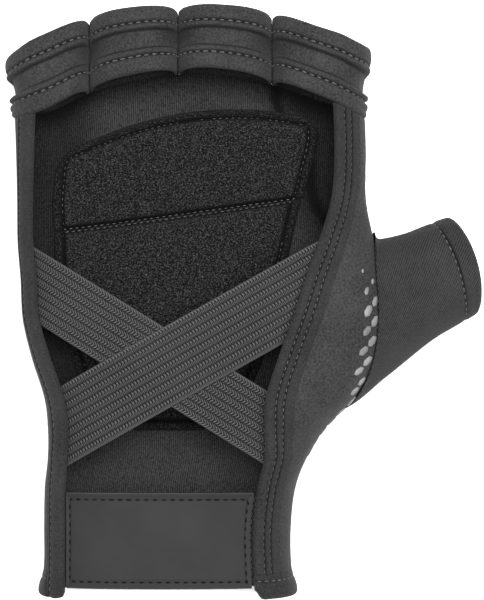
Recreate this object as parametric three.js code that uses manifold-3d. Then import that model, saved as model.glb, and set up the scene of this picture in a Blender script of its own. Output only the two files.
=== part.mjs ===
// An open-back weightlifting glove for a left hand, lying on its palm.
// Millimetres, +Z up. +Y runs from the wrist to the fingers and +X points to the thumb.
// The exported group is centred, so the origin is the middle of the base of the whole glove.
import * as THREE from "three";
import { mergeVertices } from "three/addons/utils/BufferGeometryUtils.js";
import Module from "manifold-3d";

const wasm = await Module();
wasm.setup();

// Overall sizes of the worn form
const KNUCKLE_WIDTH = 93; // across the body just behind the finger loops
const PALM_LENGTH = 139; // cuff end to the rear edge of the middle finger loop
const HAND_DEPTH = 36; // palm to back, at the base of the thumb
const SQUARENESS = 2.6; // 2 is an ellipse, and larger is boxier
const SETTLE = 1.1; // how far the soft palm flattens where it lies on a surface

// Cloth walls, and the clearance between pieces that are sewn together
const WALL = 1.8;
const SEAM_GAP = 0.3;

// Edge tapes of the open back
const LITTLE_TAPE_WIDTH = 6;
const THUMB_TAPE_WIDTH = 7.6;
const TAPE_THICKNESS = 2.8;

// Finger loops
const LOOP_LENGTH = 18;
const LOOP_DEPTH = 25;
const LOOP_SQUARENESS = 3;
const LOOP_WALL = 1.6;
const LOOP_HEM_RISE = 0.9;
const LOOP_GATHER_RISE = 0.9;
const LOOP_PALM_RECESS = 2.5; // the palm side of a loop is cut shorter at the front

// Thumb sleeve
const THUMB_WIDTH = 26; // across its mouth
const THUMB_DEPTH = 22.5;
const THUMB_WALL = 1.7;
const THUMB_HEM_LENGTH = 0.2; // share of the sleeve
const THUMB_HEM_RISE = 0.5;
const THUMB_MOUTH_BOW = 2.2; // its mouth reaches further in the middle than at its sides

// Crossed elastic straps
const STRAP_WIDTH = 17.3;
const STRAP_THICKNESS = 1.3;
const STRAP_CEILING = 32.2; // a stretched strap runs straight below this height
const STRAP_EASE = 6; // how gently it bends into that height
const STRAP_TUCK = 11; // degrees of the section that each end runs on behind its tape

// Palm pads
const PAD_THICKNESS = 4.2;
const PAD_FLANGE = 1.5;
const PAD_FLANGE_WIDTH = 2;
const PAD_SHOULDER = 2;
const PAD_SEAM_FLANGE = 0.8; // the narrower flange where the two pads meet
const PAD_CLEARANCE = 0.45; // above the curved floor that they are sewn to

// Wrist closure and cuff
const CLOSURE_WIDTH = 24.6;
const CLOSURE_START = 3.2; // from the cuff end
const CLOSURE_STRAP_THICKNESS = 1.3;
const CLOSURE_STRAP_MARGIN = 1; // the patch stands over the strap's long edges
const PATCH_THICKNESS = 1.6;
const CUFF_HEM_WIDTH = 6.2;
const CUFF_HEM_THICKNESS = 3.2;
const CUFF_RISE = 2; // the palm side of the cuff is cut shorter

const HALF_WIDTH = KNUCKLE_WIDTH / 2;

// The worn form, from the cuff to the finger loops. along is a share of PALM_LENGTH, depth of HAND_DEPTH,
// and the others of HALF_WIDTH: the two sides of the form and the two edges of the open back.
const FORM = [
  { along: 0.0, littleSide: -0.84, littleEdge: -0.7, thumbEdge: 0.38, thumbSide: 0.6, depth: 0.94 },
  { along: 0.055, littleSide: -0.82, littleEdge: -0.7, thumbEdge: 0.37, thumbSide: 0.575, depth: 0.945 },
  { along: 0.13, littleSide: -0.82, littleEdge: -0.7, thumbEdge: 0.365, thumbSide: 0.573, depth: 0.95 },
  { along: 0.205, littleSide: -0.817, littleEdge: -0.702, thumbEdge: 0.39, thumbSide: 0.6, depth: 0.96 },
  { along: 0.262, littleSide: -0.8, littleEdge: -0.695, thumbEdge: 0.428, thumbSide: 0.665, depth: 0.98 },
  { along: 0.318, littleSide: -0.8, littleEdge: -0.688, thumbEdge: 0.425, thumbSide: 0.77, depth: 1.0 },
  { along: 0.374, littleSide: -0.82, littleEdge: -0.715, thumbEdge: 0.43, thumbSide: 0.93, depth: 1.0 },
  { along: 0.45, littleSide: -0.893, littleEdge: -0.795, thumbEdge: 0.5, thumbSide: 1.06, depth: 0.99 },
  { along: 0.525, littleSide: -0.948, littleEdge: -0.862, thumbEdge: 0.582, thumbSide: 1.115, depth: 0.97 },
  { along: 0.6, littleSide: -0.963, littleEdge: -0.88, thumbEdge: 0.655, thumbSide: 1.11, depth: 0.945 },
  { along: 0.675, littleSide: -0.983, littleEdge: -0.905, thumbEdge: 0.737, thumbSide: 1.05, depth: 0.905 },
  { along: 0.755, littleSide: -0.989, littleEdge: -0.905, thumbEdge: 0.81, thumbSide: 1.006, depth: 0.86 },
  { along: 0.85, littleSide: -1.0, littleEdge: -0.9, thumbEdge: 0.828, thumbSide: 1.008, depth: 0.805 },
  { along: 0.95, littleSide: -1.013, littleEdge: -0.887, thumbEdge: 0.82, thumbSide: 1.0, depth: 0.755 },
  { along: 1.05, littleSide: -1.013, littleEdge: -0.87, thumbEdge: 0.81, thumbSide: 0.995, depth: 0.73 },
];

// The curved row of finger loops. across is a share of HALF_WIDTH, rear of PALM_LENGTH
// and length of LOOP_LENGTH.
const KNUCKLE_ARC = [
  { across: -1.07, rear: 0.911, length: 0.93 },
  { across: -0.85, rear: 0.92, length: 1.12 },
  { across: -0.58, rear: 0.965, length: 1.06 },
  { across: -0.3, rear: 0.989, length: 1.0 },
  { across: -0.07, rear: 1.0, length: 0.94 },
  { across: 0.15, rear: 0.999, length: 0.95 },
  { across: 0.47, rear: 0.98, length: 1.0 },
  { across: 0.74, rear: 0.947, length: 1.02 },
  { across: 1.0, rear: 0.911, length: 1.1 },
];

// One row for each finger loop. Each pair gives its little-finger side and its thumb side: where they lie at
// the rear and at the front, as shares of HALF_WIDTH, and how square its back is there, as LOOP_SQUARENESS
// says for its palm side. depth is a share of LOOP_DEPTH.
const FINGER_LOOPS = [
  { finger: "little", rear: [-1.015, -0.582], front: [-1.075, -0.586], square: [2.3, 3.6], depth: 0.9 },
  { finger: "ring", rear: [-0.582, -0.073], front: [-0.586, -0.073], square: [2.5, 3.2], depth: 0.97 },
  { finger: "middle", rear: [-0.073, 0.47], front: [-0.073, 0.47], square: [2.7, 2.6], depth: 1.0 },
  { finger: "index", rear: [0.47, 0.998], front: [0.47, 1.045], square: [3.3, 2.3], depth: 0.97 },
];

// A finger loop's outside from its rear rim (0) to its front rim (1). rise is a share of LOOP_HEM_RISE, and
// gather, on the row's two outer sides, of LOOP_GATHER_RISE. The rows marked outer only shape those sides'
// gathered folds.
const LOOP_PROFILE = [
  { at: 0.0, rise: 0.5, gather: 0.3 },
  { at: 0.06, rise: 0.9, gather: 1.0 },
  { at: 0.13, rise: 0.9, gather: 0.0, outer: true },
  { at: 0.2, rise: 0.95, gather: 1.0, outer: true },
  { at: 0.26, rise: 1.0, gather: 0.1, outer: true },
  { at: 0.31, rise: 1.1, gather: 0.8 },
  { at: 0.37, rise: 0.1, gather: 0.0 },
  { at: 0.5, rise: -0.35, gather: 0.0 },
  { at: 0.63, rise: 0.1, gather: 0.0 },
  { at: 0.69, rise: 1.1, gather: 0.4 },
  { at: 0.93, rise: 0.9, gather: 0.2 },
  { at: 1.0, rise: 0.5, gather: 0.0 },
];

// The thumb sleeve from inside the hand to its mouth. x is a share of HALF_WIDTH, y of PALM_LENGTH,
// width of THUMB_WIDTH, depth of THUMB_DEPTH, and heading is degrees towards the fingers.
const THUMB_SECTIONS = [
  { x: 0.74, y: 0.502, heading: -8, width: 1.72, depth: 1.12 },
  { x: 0.95, y: 0.514, heading: -6, width: 1.66, depth: 1.12 },
  { x: 1.08, y: 0.545, heading: 4, width: 1.42, depth: 1.1 },
  { x: 1.24, y: 0.578, heading: 15, width: 1.18, depth: 1.05 },
  { x: 1.4, y: 0.605, heading: 19, width: 1.06, depth: 1.02 },
  { x: 1.57, y: 0.632, heading: 17, width: 1.0, depth: 1.0 },
];
const THUMB_HEIGHT = 0.375; // of its middle, as a share of HAND_DEPTH

// The pads, from their rear edge (0) to their front edge (1). left and right are shares of HALF_WIDTH.
// Where the pads meet: shares of PALM_LENGTH at the seam's two ends, which lie at the shares from and to
// of HALF_WIDTH.
const PAD_SEAM = { left: 0.699, right: 0.768, from: -0.8, to: 0.7 };
const UPPER_PAD = [
  { at: 0.0, left: -0.795, right: 0.655 },
  { at: 0.35, left: -0.805, right: 0.7 },
  { at: 0.65, left: -0.795, right: 0.745 },
  { at: 0.85, left: -0.78, right: 0.765 },
  { at: 1.0, left: -0.7, right: 0.71 },
];
const UPPER_PAD_FRONT = { crown: 0.935, across: 0.25, drop: 0.088 };
const LOWER_PAD = [
  { at: 0.0, left: -0.32, right: 0.06 },
  { at: 0.06, left: -0.46, right: 0.2 },
  { at: 0.16, left: -0.585, right: 0.325 },
  { at: 0.34, left: -0.68, right: 0.43 },
  { at: 0.55, left: -0.75, right: 0.505 },
  { at: 0.8, left: -0.785, right: 0.58 },
  { at: 1.0, left: -0.795, right: 0.64 },
];
const LOWER_PAD_REAR = 0.314; // share of PALM_LENGTH

// The crossed straps: where each middle line meets the hand's axis, as a share of PALM_LENGTH, how it slopes,
// its width as a share of STRAP_WIDTH, and 1 for the strap that passes below the other.
const CROSS_STRAPS = [
  { name: "cross_strap_over", start: 0.454, slope: 0.565, width: 1.09, below: 0 },
  { name: "cross_strap_under", start: 0.408, slope: -0.62, width: 0.95, below: 1 },
];

const CLOTH = new THREE.MeshStandardMaterial({ color: 0x2b2b2b, roughness: 0.85, metalness: 0 });
const KNIT = new THREE.MeshStandardMaterial({ color: 0x242424, roughness: 0.95, metalness: 0 });
const TAPE = new THREE.MeshStandardMaterial({ color: 0x262626, roughness: 0.9, metalness: 0 });
const FELT = new THREE.MeshStandardMaterial({ color: 0x161616, roughness: 1, metalness: 0 });
const ELASTIC = new THREE.MeshStandardMaterial({ color: 0x323232, roughness: 0.8, metalness: 0 });
const RUBBER = new THREE.MeshStandardMaterial({ color: 0x272727, roughness: 0.55, metalness: 0 });

const mix = (a, b, share) => a + (b - a) * share;
const clamp01 = (value) => Math.min(1, Math.max(0, value));
const radians = THREE.MathUtils.degToRad;

// A smooth curve through one column of a table whose rows are ordered by the key column.
function sample(rows, key, column, at) {
  let i = rows.findIndex((row) => row[key] > at) - 1;
  if (i === -2) i = rows.length - 2;
  i = Math.max(0, Math.min(rows.length - 2, i));
  const slope = (j) => {
    const before = rows[Math.max(0, j - 1)];
    const after = rows[Math.min(rows.length - 1, j + 1)];
    return (after[column] - before[column]) / (after[key] - before[key]);
  };
  const span = rows[i + 1][key] - rows[i][key];
  const u = clamp01((at - rows[i][key]) / span);
  const ease = u * u * (3 - 2 * u);
  return (
    mix(rows[i][column], rows[i + 1][column], ease) +
    span * (u * (1 - u) * (1 - u) * slope(i) - u * u * (1 - u) * slope(i + 1))
  );
}

const power = (value, exponent) => Math.sign(value) * Math.pow(Math.abs(value), exponent);

// A point of a rounded section at an angle from its thumb side, counted over the back of the hand.
// sideInset moves its sides in, where that differs from inset.
function roundedPoint(section, angle, inset, squareness, sideInset = inset) {
  return {
    x: section.x + (section.halfWidth - sideInset) * power(Math.cos(angle), 2 / squareness),
    z: section.z + (section.halfDepth - inset) * power(Math.sin(angle), 2 / squareness),
  };
}

// The hand form's section at a distance y from the cuff.
function formSection(y) {
  const at = (column) => sample(FORM, "along", column, y / PALM_LENGTH);
  const littleSide = at("littleSide") * HALF_WIDTH;
  const thumbSide = at("thumbSide") * HALF_WIDTH;
  const depth = at("depth") * HAND_DEPTH + SETTLE;
  const section = {
    x: (littleSide + thumbSide) / 2,
    z: depth / 2 - SETTLE,
    halfWidth: (thumbSide - littleSide) / 2,
    halfDepth: depth / 2,
  };
  const angleOf = (x) => Math.acos(power((x - section.x) / section.halfWidth, SQUARENESS / 2));
  section.littleAngle = angleOf(at("littleEdge") * HALF_WIDTH);
  section.thumbAngle = angleOf(at("thumbEdge") * HALF_WIDTH);
  return section;
}

// The wall's outer line in one section: from the little-finger edge of the open back, round the palm,
// to the thumb edge, as points with outward normals at equal steps of length.
const WALL_STEPS = 160;
const wallLines = new Map();
function wallLine(y) {
  const key = y.toFixed(2);
  if (wallLines.has(key)) return wallLines.get(key);
  const section = formSection(y);
  const end = 2 * Math.PI + section.thumbAngle;
  const points = [];
  for (let i = 0; i <= WALL_STEPS; i++) {
    const p = roundedPoint(section, mix(section.littleAngle, end, i / WALL_STEPS), 0, SQUARENESS);
    points.push(new THREE.Vector2(p.x, Math.max(0, p.z)));
  }
  const distances = [0];
  for (let i = 1; i <= WALL_STEPS; i++) distances.push(distances[i - 1] + points[i].distanceTo(points[i - 1]));
  const line = { points, distances, length: distances[WALL_STEPS] };
  wallLines.set(key, line);
  return line;
}

// The point of a wall line at a distance s from its little-finger end, moved inwards by inset.
function onWallLine(y, s, inset) {
  const { points, distances, length } = wallLine(y);
  const target = Math.min(length, Math.max(0, s));
  let i = distances.findIndex((d) => d > target) - 1;
  if (i < 0) i = WALL_STEPS - 1;
  const share = (target - distances[i]) / (distances[i + 1] - distances[i]);
  const before = points[Math.max(0, i - 2)];
  const after = points[Math.min(WALL_STEPS, i + 3)];
  const tangent = after.clone().sub(before).normalize();
  const x = mix(points[i].x, points[i + 1].x, share) - tangent.y * inset;
  const z = mix(points[i].y, points[i + 1].y, share) + tangent.x * inset;
  return { x, z };
}

const knuckleRear = (x) => sample(KNUCKLE_ARC, "across", "rear", x / HALF_WIDTH) * PALM_LENGTH;
const loopLength = (x) => sample(KNUCKLE_ARC, "across", "length", x / HALF_WIDTH) * LOOP_LENGTH;

// The wall in 3-D. along runs from the cuff (0) to the finger loops (1), place gives the distance s along the
// wall line from its length, and start is where along 0 lies.
const FRONT_WARP = 0.55; // beyond this share of its length the wall's rows bend to follow the knuckle arc
function wallPoint(along, place, inset, start) {
  const nearest = knuckleRear(-HALF_WIDTH) - SEAM_GAP;
  let y = mix(start, nearest, along);
  const bend = clamp01((along - FRONT_WARP) / (1 - FRONT_WARP));
  for (let pass = 0; pass < 3; pass++) {
    const { x } = onWallLine(y, place(wallLine(y).length), inset);
    y = mix(start, nearest, along) + bend * bend * (knuckleRear(x) - SEAM_GAP - nearest);
  }
  const { x, z } = onWallLine(y, place(wallLine(y).length), inset);
  const low = 1 - z / HAND_DEPTH;
  return new THREE.Vector3(x, y + CUFF_RISE * low * (1 - along) ** 4, Math.max(0, z));
}

// A closed solid between two grids of points, outer[i][j] and inner[i][j]. Where wraps is true, the i direction
// closes on itself.
function solidBetween(outer, inner, wraps = false) {
  const rows = outer.length;
  const columns = outer[0].length;
  const positions = [];
  for (const grid of [outer, inner]) for (const row of grid) for (const p of row) positions.push(p.x, p.y, p.z);
  const index = (side, i, j) => side * rows * columns + (i % rows) * columns + j;
  const faces = [];
  const quad = (a, b, c, d) => faces.push(a, b, c, a, c, d);
  const lastRow = wraps ? rows : rows - 1;
  for (let i = 0; i < lastRow; i++) {
    for (let j = 0; j < columns - 1; j++) {
      quad(index(0, i, j), index(0, i + 1, j), index(0, i + 1, j + 1), index(0, i, j + 1));
      quad(index(1, i, j), index(1, i, j + 1), index(1, i + 1, j + 1), index(1, i + 1, j));
    }
    quad(index(0, i, 0), index(1, i, 0), index(1, i + 1, 0), index(0, i + 1, 0));
    quad(
      index(0, i, columns - 1),
      index(0, i + 1, columns - 1),
      index(1, i + 1, columns - 1),
      index(1, i, columns - 1),
    );
  }
  if (!wraps) {
    for (let j = 0; j < columns - 1; j++) {
      quad(index(0, 0, j), index(0, 0, j + 1), index(1, 0, j + 1), index(1, 0, j));
      quad(
        index(0, rows - 1, j),
        index(1, rows - 1, j),
        index(1, rows - 1, j + 1),
        index(0, rows - 1, j + 1),
      );
    }
  }
  return facingOut(positions, faces);
}

// A closed loft through rings of points, with a flat fan at each end.
function loft(rings) {
  const sides = rings[0].length;
  const positions = [];
  for (const ring of rings) for (const p of ring) positions.push(p.x, p.y, p.z);
  const faces = [];
  for (let i = 0; i < rings.length - 1; i++) {
    for (let j = 0; j < sides; j++) {
      const k = (j + 1) % sides;
      const [a, b, c, d] = [i * sides + j, i * sides + k, (i + 1) * sides + k, (i + 1) * sides + j];
      faces.push(a, b, c, a, c, d);
    }
  }
  const last = (rings.length - 1) * sides;
  for (let j = 1; j < sides - 1; j++) {
    faces.push(0, j + 1, j);
    faces.push(last, last + j, last + j + 1);
  }
  return facingOut(positions, faces);
}

// An indexed geometry whose faces point out, whichever way round its grid runs.
function facingOut(positions, faces) {
  let volume = 0;
  const corner = (k) => new THREE.Vector3().fromArray(positions, faces[k] * 3);
  for (let k = 0; k < faces.length; k += 3) {
    volume += corner(k).dot(corner(k + 1).cross(corner(k + 2)));
  }
  if (volume < 0) faces.reverse();
  const geometry = new THREE.BufferGeometry();
  geometry.setAttribute("position", new THREE.Float32BufferAttribute(positions, 3));
  geometry.setIndex(faces);
  return geometry;
}

function solidOf(geometry) {
  const merged = mergeVertices(geometry, 1e-4);
  return new wasm.Manifold(
    new wasm.Mesh({
      numProp: 3,
      vertProperties: merged.attributes.position.array,
      triVerts: new Uint32Array(merged.index.array),
    }),
  );
}

function geometryOf(solid) {
  const mesh = solid.getMesh();
  const geometry = new THREE.BufferGeometry();
  geometry.setAttribute("position", new THREE.Float32BufferAttribute(mesh.vertProperties, 3));
  geometry.setIndex([...mesh.triVerts]);
  return geometry;
}

const glove = new THREE.Group();
function addPiece(name, geometry, material) {
  const mesh = new THREE.Mesh(geometry, material);
  mesh.name = name;
  geometry.computeVertexNormals();
  glove.add(mesh);
}

// A grid of points: rows by across, columns by along, each a share from 0 to 1.
function grid(rows, columns, point) {
  return Array.from({ length: rows + 1 }, (_, i) =>
    Array.from({ length: columns + 1 }, (_, j) => point(i / rows, j / columns)),
  );
}

// Thumb sleeve: a tapering knitted tube. Its inside also cuts the way through the palm's wall.
function thumbRings(inset, from, to, steps, sides) {
  const rings = [];
  for (let i = 0; i <= steps; i++) {
    const at = mix(from, to, i / steps);
    const k = clamp01(at) * (THUMB_SECTIONS.length - 1);
    const rows = THUMB_SECTIONS.map((row, index) => ({ ...row, index }));
    const get = (column) => sample(rows, "index", column, k);
    const heading = radians(get("heading"));
    const beyond = (at - clamp01(at)) * KNUCKLE_WIDTH;
    const x = get("x") * HALF_WIDTH + Math.cos(heading) * beyond;
    const y = get("y") * PALM_LENGTH + Math.sin(heading) * beyond;
    const hem = at > 1 - THUMB_HEM_LENGTH && inset === 0 ? THUMB_HEM_RISE : 0;
    const halfWidth = (get("width") * THUMB_WIDTH) / 2 - inset + hem;
    const halfDepth = (get("depth") * THUMB_DEPTH) / 2 - inset + hem;
    const ring = [];
    for (let j = 0; j < sides; j++) {
      const turn = (2 * Math.PI * j) / sides;
      const across = halfWidth * power(Math.cos(turn), 2 / SQUARENESS);
      const up = halfDepth * power(Math.sin(turn), 2 / SQUARENESS);
      const bow = THUMB_MOUTH_BOW * at ** 3 * (1 - (across / halfWidth) ** 2);
      ring.push(
        new THREE.Vector3(
          x - Math.sin(heading) * across + Math.cos(heading) * bow,
          y + Math.cos(heading) * across + Math.sin(heading) * bow,
          THUMB_HEIGHT * HAND_DEPTH + up,
        ),
      );
    }
    rings.push(ring);
  }
  return rings;
}
const THUMB_STEPS = 7;
const THUMB_SIDES = 22;
const THUMB_OVERRUN = 0.12;
const thumbOutside = solidOf(loft(thumbRings(0, 0, 1, THUMB_STEPS, THUMB_SIDES)));
const thumbInside = solidOf(
  loft(thumbRings(THUMB_WALL, -THUMB_OVERRUN, 1 + THUMB_OVERRUN, THUMB_STEPS, THUMB_SIDES)),
);

// The hand form as one solid, a seam's clearance larger, which trims the sleeve to the palm's wall.
const FORM_RINGS = 24;
const FORM_SIDES = 56;
const formRings = Array.from({ length: FORM_RINGS + 1 }, (_, i) => {
  const y = (PALM_LENGTH * i) / FORM_RINGS;
  const section = formSection(y);
  return Array.from({ length: FORM_SIDES }, (_, j) => {
    const p = roundedPoint(section, (2 * Math.PI * j) / FORM_SIDES, -SEAM_GAP, SQUARENESS);
    return new THREE.Vector3(p.x, y, p.z);
  });
});
const handForm = solidOf(loft(formRings));
addPiece("thumb_sleeve", geometryOf(thumbOutside.subtract(thumbInside).subtract(handForm)), KNIT);

// Palm shell: the soft body, from one tape round the palm to the other, with the way into the thumb sleeve.
const SHELL_AROUND = 30;
const SHELL_ALONG = 22;
const shellPlace = (across) => (length) =>
  mix(LITTLE_TAPE_WIDTH + SEAM_GAP, length - THUMB_TAPE_WIDTH - SEAM_GAP, across);
const shellStart = CUFF_HEM_WIDTH + SEAM_GAP;
const shellGrid = (inset) =>
  grid(SHELL_AROUND, SHELL_ALONG, (across, along) => wallPoint(along, shellPlace(across), inset, shellStart));
const shell = solidOf(solidBetween(shellGrid(0), shellGrid(WALL)));
addPiece("palm_shell", geometryOf(shell.subtract(thumbInside)), CLOTH);

// Edge tapes: a folded band on each side of the open back, thicker than the wall on both faces.
const TAPE_ROUND = [
  { at: 0.0, rise: 0.35 },
  { at: 0.15, rise: 0.9 },
  { at: 0.5, rise: 1.0 },
  { at: 0.85, rise: 0.9 },
  { at: 1.0, rise: 0.35 },
];
const TAPE_ALONG = 22;
function tape(name, place, start) {
  const proud = (TAPE_THICKNESS - WALL) / 2;
  const side = (sign) =>
    TAPE_ROUND.map((row) =>
      Array.from({ length: TAPE_ALONG + 1 }, (_, j) => {
        const half = (WALL / 2 + proud) * row.rise;
        return wallPoint(j / TAPE_ALONG, place(row.at), WALL / 2 - sign * half, start);
      }),
    );
  addPiece(name, solidBetween(side(1), side(-1)), TAPE);
}
tape("edge_tape_little", (at) => () => at * LITTLE_TAPE_WIDTH, 0);
tape("edge_tape_thumb", (at) => (length) => length - at * THUMB_TAPE_WIDTH, shellStart);

// Cuff hem: the palm's wall rolled over at the wrist, from the little-finger tape to the thumb edge.
const HEM_AROUND = 30;
function hemSide(sign) {
  return Array.from({ length: HEM_AROUND + 1 }, (_, i) =>
    TAPE_ROUND.map((row) => {
      const half = (CUFF_HEM_THICKNESS / 2) * row.rise;
      const place = (length) => mix(LITTLE_TAPE_WIDTH + SEAM_GAP, length, i / HEM_AROUND);
      return wallPoint(0, place, WALL / 2 - sign * half, row.at * CUFF_HEM_WIDTH);
    }),
  );
}
addPiece("cuff_hem", solidBetween(hemSide(1), hemSide(-1)), CLOTH);

// Finger loops: four tubes side by side, with a thicker hem at the rear and the front. Neighbours touch along
// straight sides, and the hems stand out on the back, the palm and the two outer sides of the row.
const LOOP_SIDES = 22;
function fingerLoop(row, index) {
  const isFirst = index === 0;
  const isLast = index === FINGER_LOOPS.length - 1;
  const profile = LOOP_PROFILE.filter((step) => !step.outer || isFirst || isLast);
  const surface = (isOuter) =>
    Array.from({ length: LOOP_SIDES }, (_, i) =>
      profile.map(({ at, rise, gather }) => {
        const angle = (2 * Math.PI * i) / LOOP_SIDES;
        const isLeft = Math.cos(angle) < 0;
        const isFree = isLeft ? isFirst : isLast;
        const [left, right] = [0, 1].map((side) => mix(row.rear[side], row.front[side], at) * HALF_WIDTH);
        const deep = (1 - rise) * LOOP_HEM_RISE;
        const inset = isOuter ? deep : Math.max(deep, 0) + LOOP_WALL;
        const wall = isOuter ? 0 : LOOP_WALL;
        const fold = isFree && isOuter ? gather * LOOP_GATHER_RISE * Math.cos(angle) ** 2 : 0;
        const sideInset = isFree ? inset - fold : SEAM_GAP / 2 + wall;
        const section = {
          x: (left + right) / 2,
          z: (row.depth * LOOP_DEPTH - SETTLE) / 2,
          halfWidth: (right - left) / 2,
          halfDepth: (row.depth * LOOP_DEPTH + SETTLE) / 2,
        };
        const squareness = Math.sin(angle) > 0 ? row.square[isLeft ? 0 : 1] : LOOP_SQUARENESS;
        const { x, z } = roundedPoint(section, angle, inset, squareness, sideInset);
        const under = clamp01(1 - z / section.z);
        const length = loopLength(x) - LOOP_PALM_RECESS * under;
        return new THREE.Vector3(x, knuckleRear(x) + length * at, Math.max(wall, z));
      }),
    );
  addPiece(`finger_loop_${row.finger}`, solidBetween(surface(true), surface(false), true), CLOTH);
}
FINGER_LOOPS.forEach(fingerLoop);

// The palm's inner floor below a plan point, and the pads that lie on it.
function floorUnder(x, y, lift) {
  const section = formSection(y);
  const inset = WALL + lift;
  const share = Math.min(0.999, Math.abs(x - section.x) / (section.halfWidth - inset));
  const sink = Math.pow(1 - share ** SQUARENESS, 1 / SQUARENESS);
  return Math.max(inset, section.z - (section.halfDepth - inset) * sink);
}
const PAD_ACROSS = 14;
const PAD_ALONG = 10;
const easeEnds = (share) => 0.5 - 0.5 * Math.cos(Math.PI * share);
function pad(name, rows, rearLine, frontLine, rearFlange, frontFlange) {
  const surface = (isTop) =>
    grid(PAD_ACROSS, PAD_ALONG, (i, j) => {
      const [across, along] = [easeEnds(i), easeEnds(j)];
      const left = sample(rows, "at", "left", along) * HALF_WIDTH;
      const right = sample(rows, "at", "right", along) * HALF_WIDTH;
      const x = mix(left, right, across);
      const [rear, front] = [rearLine(x), frontLine(x)];
      const edge = Math.min(
        across * (right - left) - PAD_FLANGE_WIDTH,
        (1 - across) * (right - left) - PAD_FLANGE_WIDTH,
        along * (front - rear) - rearFlange,
        (1 - along) * (front - rear) - frontFlange,
      );
      const y = mix(rear, front, along);
      const swell = clamp01(edge / PAD_SHOULDER);
      const thick = isTop ? mix(PAD_FLANGE, PAD_THICKNESS, Math.sqrt(swell * (2 - swell))) : 0;
      return new THREE.Vector3(x, y, floorUnder(x, y, PAD_CLEARANCE) + thick);
    });
  addPiece(name, solidBetween(surface(true), surface(false)), FELT);
}
const padSeam = (x) => {
  const { left, right, from, to } = PAD_SEAM;
  return mix(left, right, clamp01((x / HALF_WIDTH - from) / (to - from))) * PALM_LENGTH;
};
const padFront = (x) => {
  const { crown, across, drop } = UPPER_PAD_FRONT;
  return (crown - drop * (x / HALF_WIDTH - across) ** 2) * PALM_LENGTH;
};
const upperRear = (x) => padSeam(x) + SEAM_GAP / 2;
const lowerRear = () => LOWER_PAD_REAR * PALM_LENGTH;
const lowerFront = (x) => padSeam(x) - SEAM_GAP / 2;
pad("palm_pad_upper", UPPER_PAD, upperRear, padFront, PAD_SEAM_FLANGE, PAD_FLANGE_WIDTH);
pad("palm_pad_lower", LOWER_PAD, lowerRear, lowerFront, PAD_FLANGE_WIDTH, PAD_SEAM_FLANGE);

// A band across the open back, its ends tucked behind the tapes. line gives y from x, and inset is how far
// below the form it lies.
const softMin = (a, b, width) => {
  const h = clamp01(0.5 + (0.5 * (b - a)) / width);
  return mix(b, a, h) - width * h * (1 - h);
};
function bandPoint(across, line, inset, tuck, isFlat) {
  let y = line(0);
  let point = { x: 0, z: 0 };
  for (let pass = 0; pass < 6; pass++) {
    const section = formSection(y);
    const angle = mix(section.thumbAngle - tuck.thumb, section.littleAngle + tuck.little, across);
    point = roundedPoint(section, angle, inset, SQUARENESS);
    y = line(point.x);
  }
  const ceiling = STRAP_CEILING - inset + WALL;
  return new THREE.Vector3(point.x, y, isFlat ? softMin(point.z, ceiling, STRAP_EASE) : point.z);
}

// Crossed straps: two stretched elastics. The lower one dips where the other passes over it.
const STRAP_ALONG = 22;
const STRAP_ACROSS = 3;
const strapTop = (WALL + TAPE_THICKNESS) / 2 + SEAM_GAP;
const [over, below] = CROSS_STRAPS;
const crossingX = ((below.start - over.start) * PALM_LENGTH) / (over.slope - below.slope);
function crossStrap(row) {
  const tuck = { thumb: radians(STRAP_TUCK), little: radians(STRAP_TUCK) };
  const surface = (isTop) =>
    grid(STRAP_ALONG, STRAP_ACROSS, (along, across) => {
      const offset = ((across - 0.5) * row.width * STRAP_WIDTH) / Math.cos(Math.atan(row.slope));
      const line = (x) => row.start * PALM_LENGTH + row.slope * x + offset;
      const { x } = bandPoint(along, line, strapTop, tuck, true);
      const near = clamp01(2 - Math.abs(x - crossingX) / STRAP_WIDTH);
      const dip = row.below * (STRAP_THICKNESS + SEAM_GAP) * near * near * (3 - 2 * near);
      return bandPoint(along, line, strapTop + dip + (isTop ? 0 : STRAP_THICKNESS), tuck, true);
    });
  addPiece(row.name, solidBetween(surface(true), surface(false)), ELASTIC);
}
CROSS_STRAPS.forEach(crossStrap);

// Wrist closure: a strap tucked behind both tapes, and the moulded patch sewn on it between them.
const CLOSURE_ALONG = 18;
const CLOSURE_ACROSS = 2;
const PATCH_MARGIN = 1; // degrees of the section between the patch's ends and the tapes
function closureBand(name, tuckDegrees, margin, top, thickness, material) {
  const tuck = { thumb: radians(tuckDegrees), little: radians(tuckDegrees) };
  const surface = (isTop) =>
    grid(CLOSURE_ALONG, CLOSURE_ACROSS, (along, across) => {
      const y = CLOSURE_START + margin + across * (CLOSURE_WIDTH - 2 * margin);
      return bandPoint(along, () => y, top + (isTop ? 0 : thickness), tuck, false);
    });
  addPiece(name, solidBetween(surface(true), surface(false)), material);
}
const closureTop = (WALL + CUFF_HEM_THICKNESS) / 2 + SEAM_GAP;
closureBand("wrist_strap", STRAP_TUCK, CLOSURE_STRAP_MARGIN, closureTop, CLOSURE_STRAP_THICKNESS, ELASTIC);
const patchTop = closureTop - SEAM_GAP - PATCH_THICKNESS;
closureBand("wrist_patch", -PATCH_MARGIN, 0, patchTop, PATCH_THICKNESS, RUBBER);

const box = new THREE.Box3().setFromObject(glove);
glove.position.set(-(box.min.x + box.max.x) / 2, -(box.min.y + box.max.y) / 2, -box.min.z);

export default glove;
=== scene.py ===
import math
from types import SimpleNamespace

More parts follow.
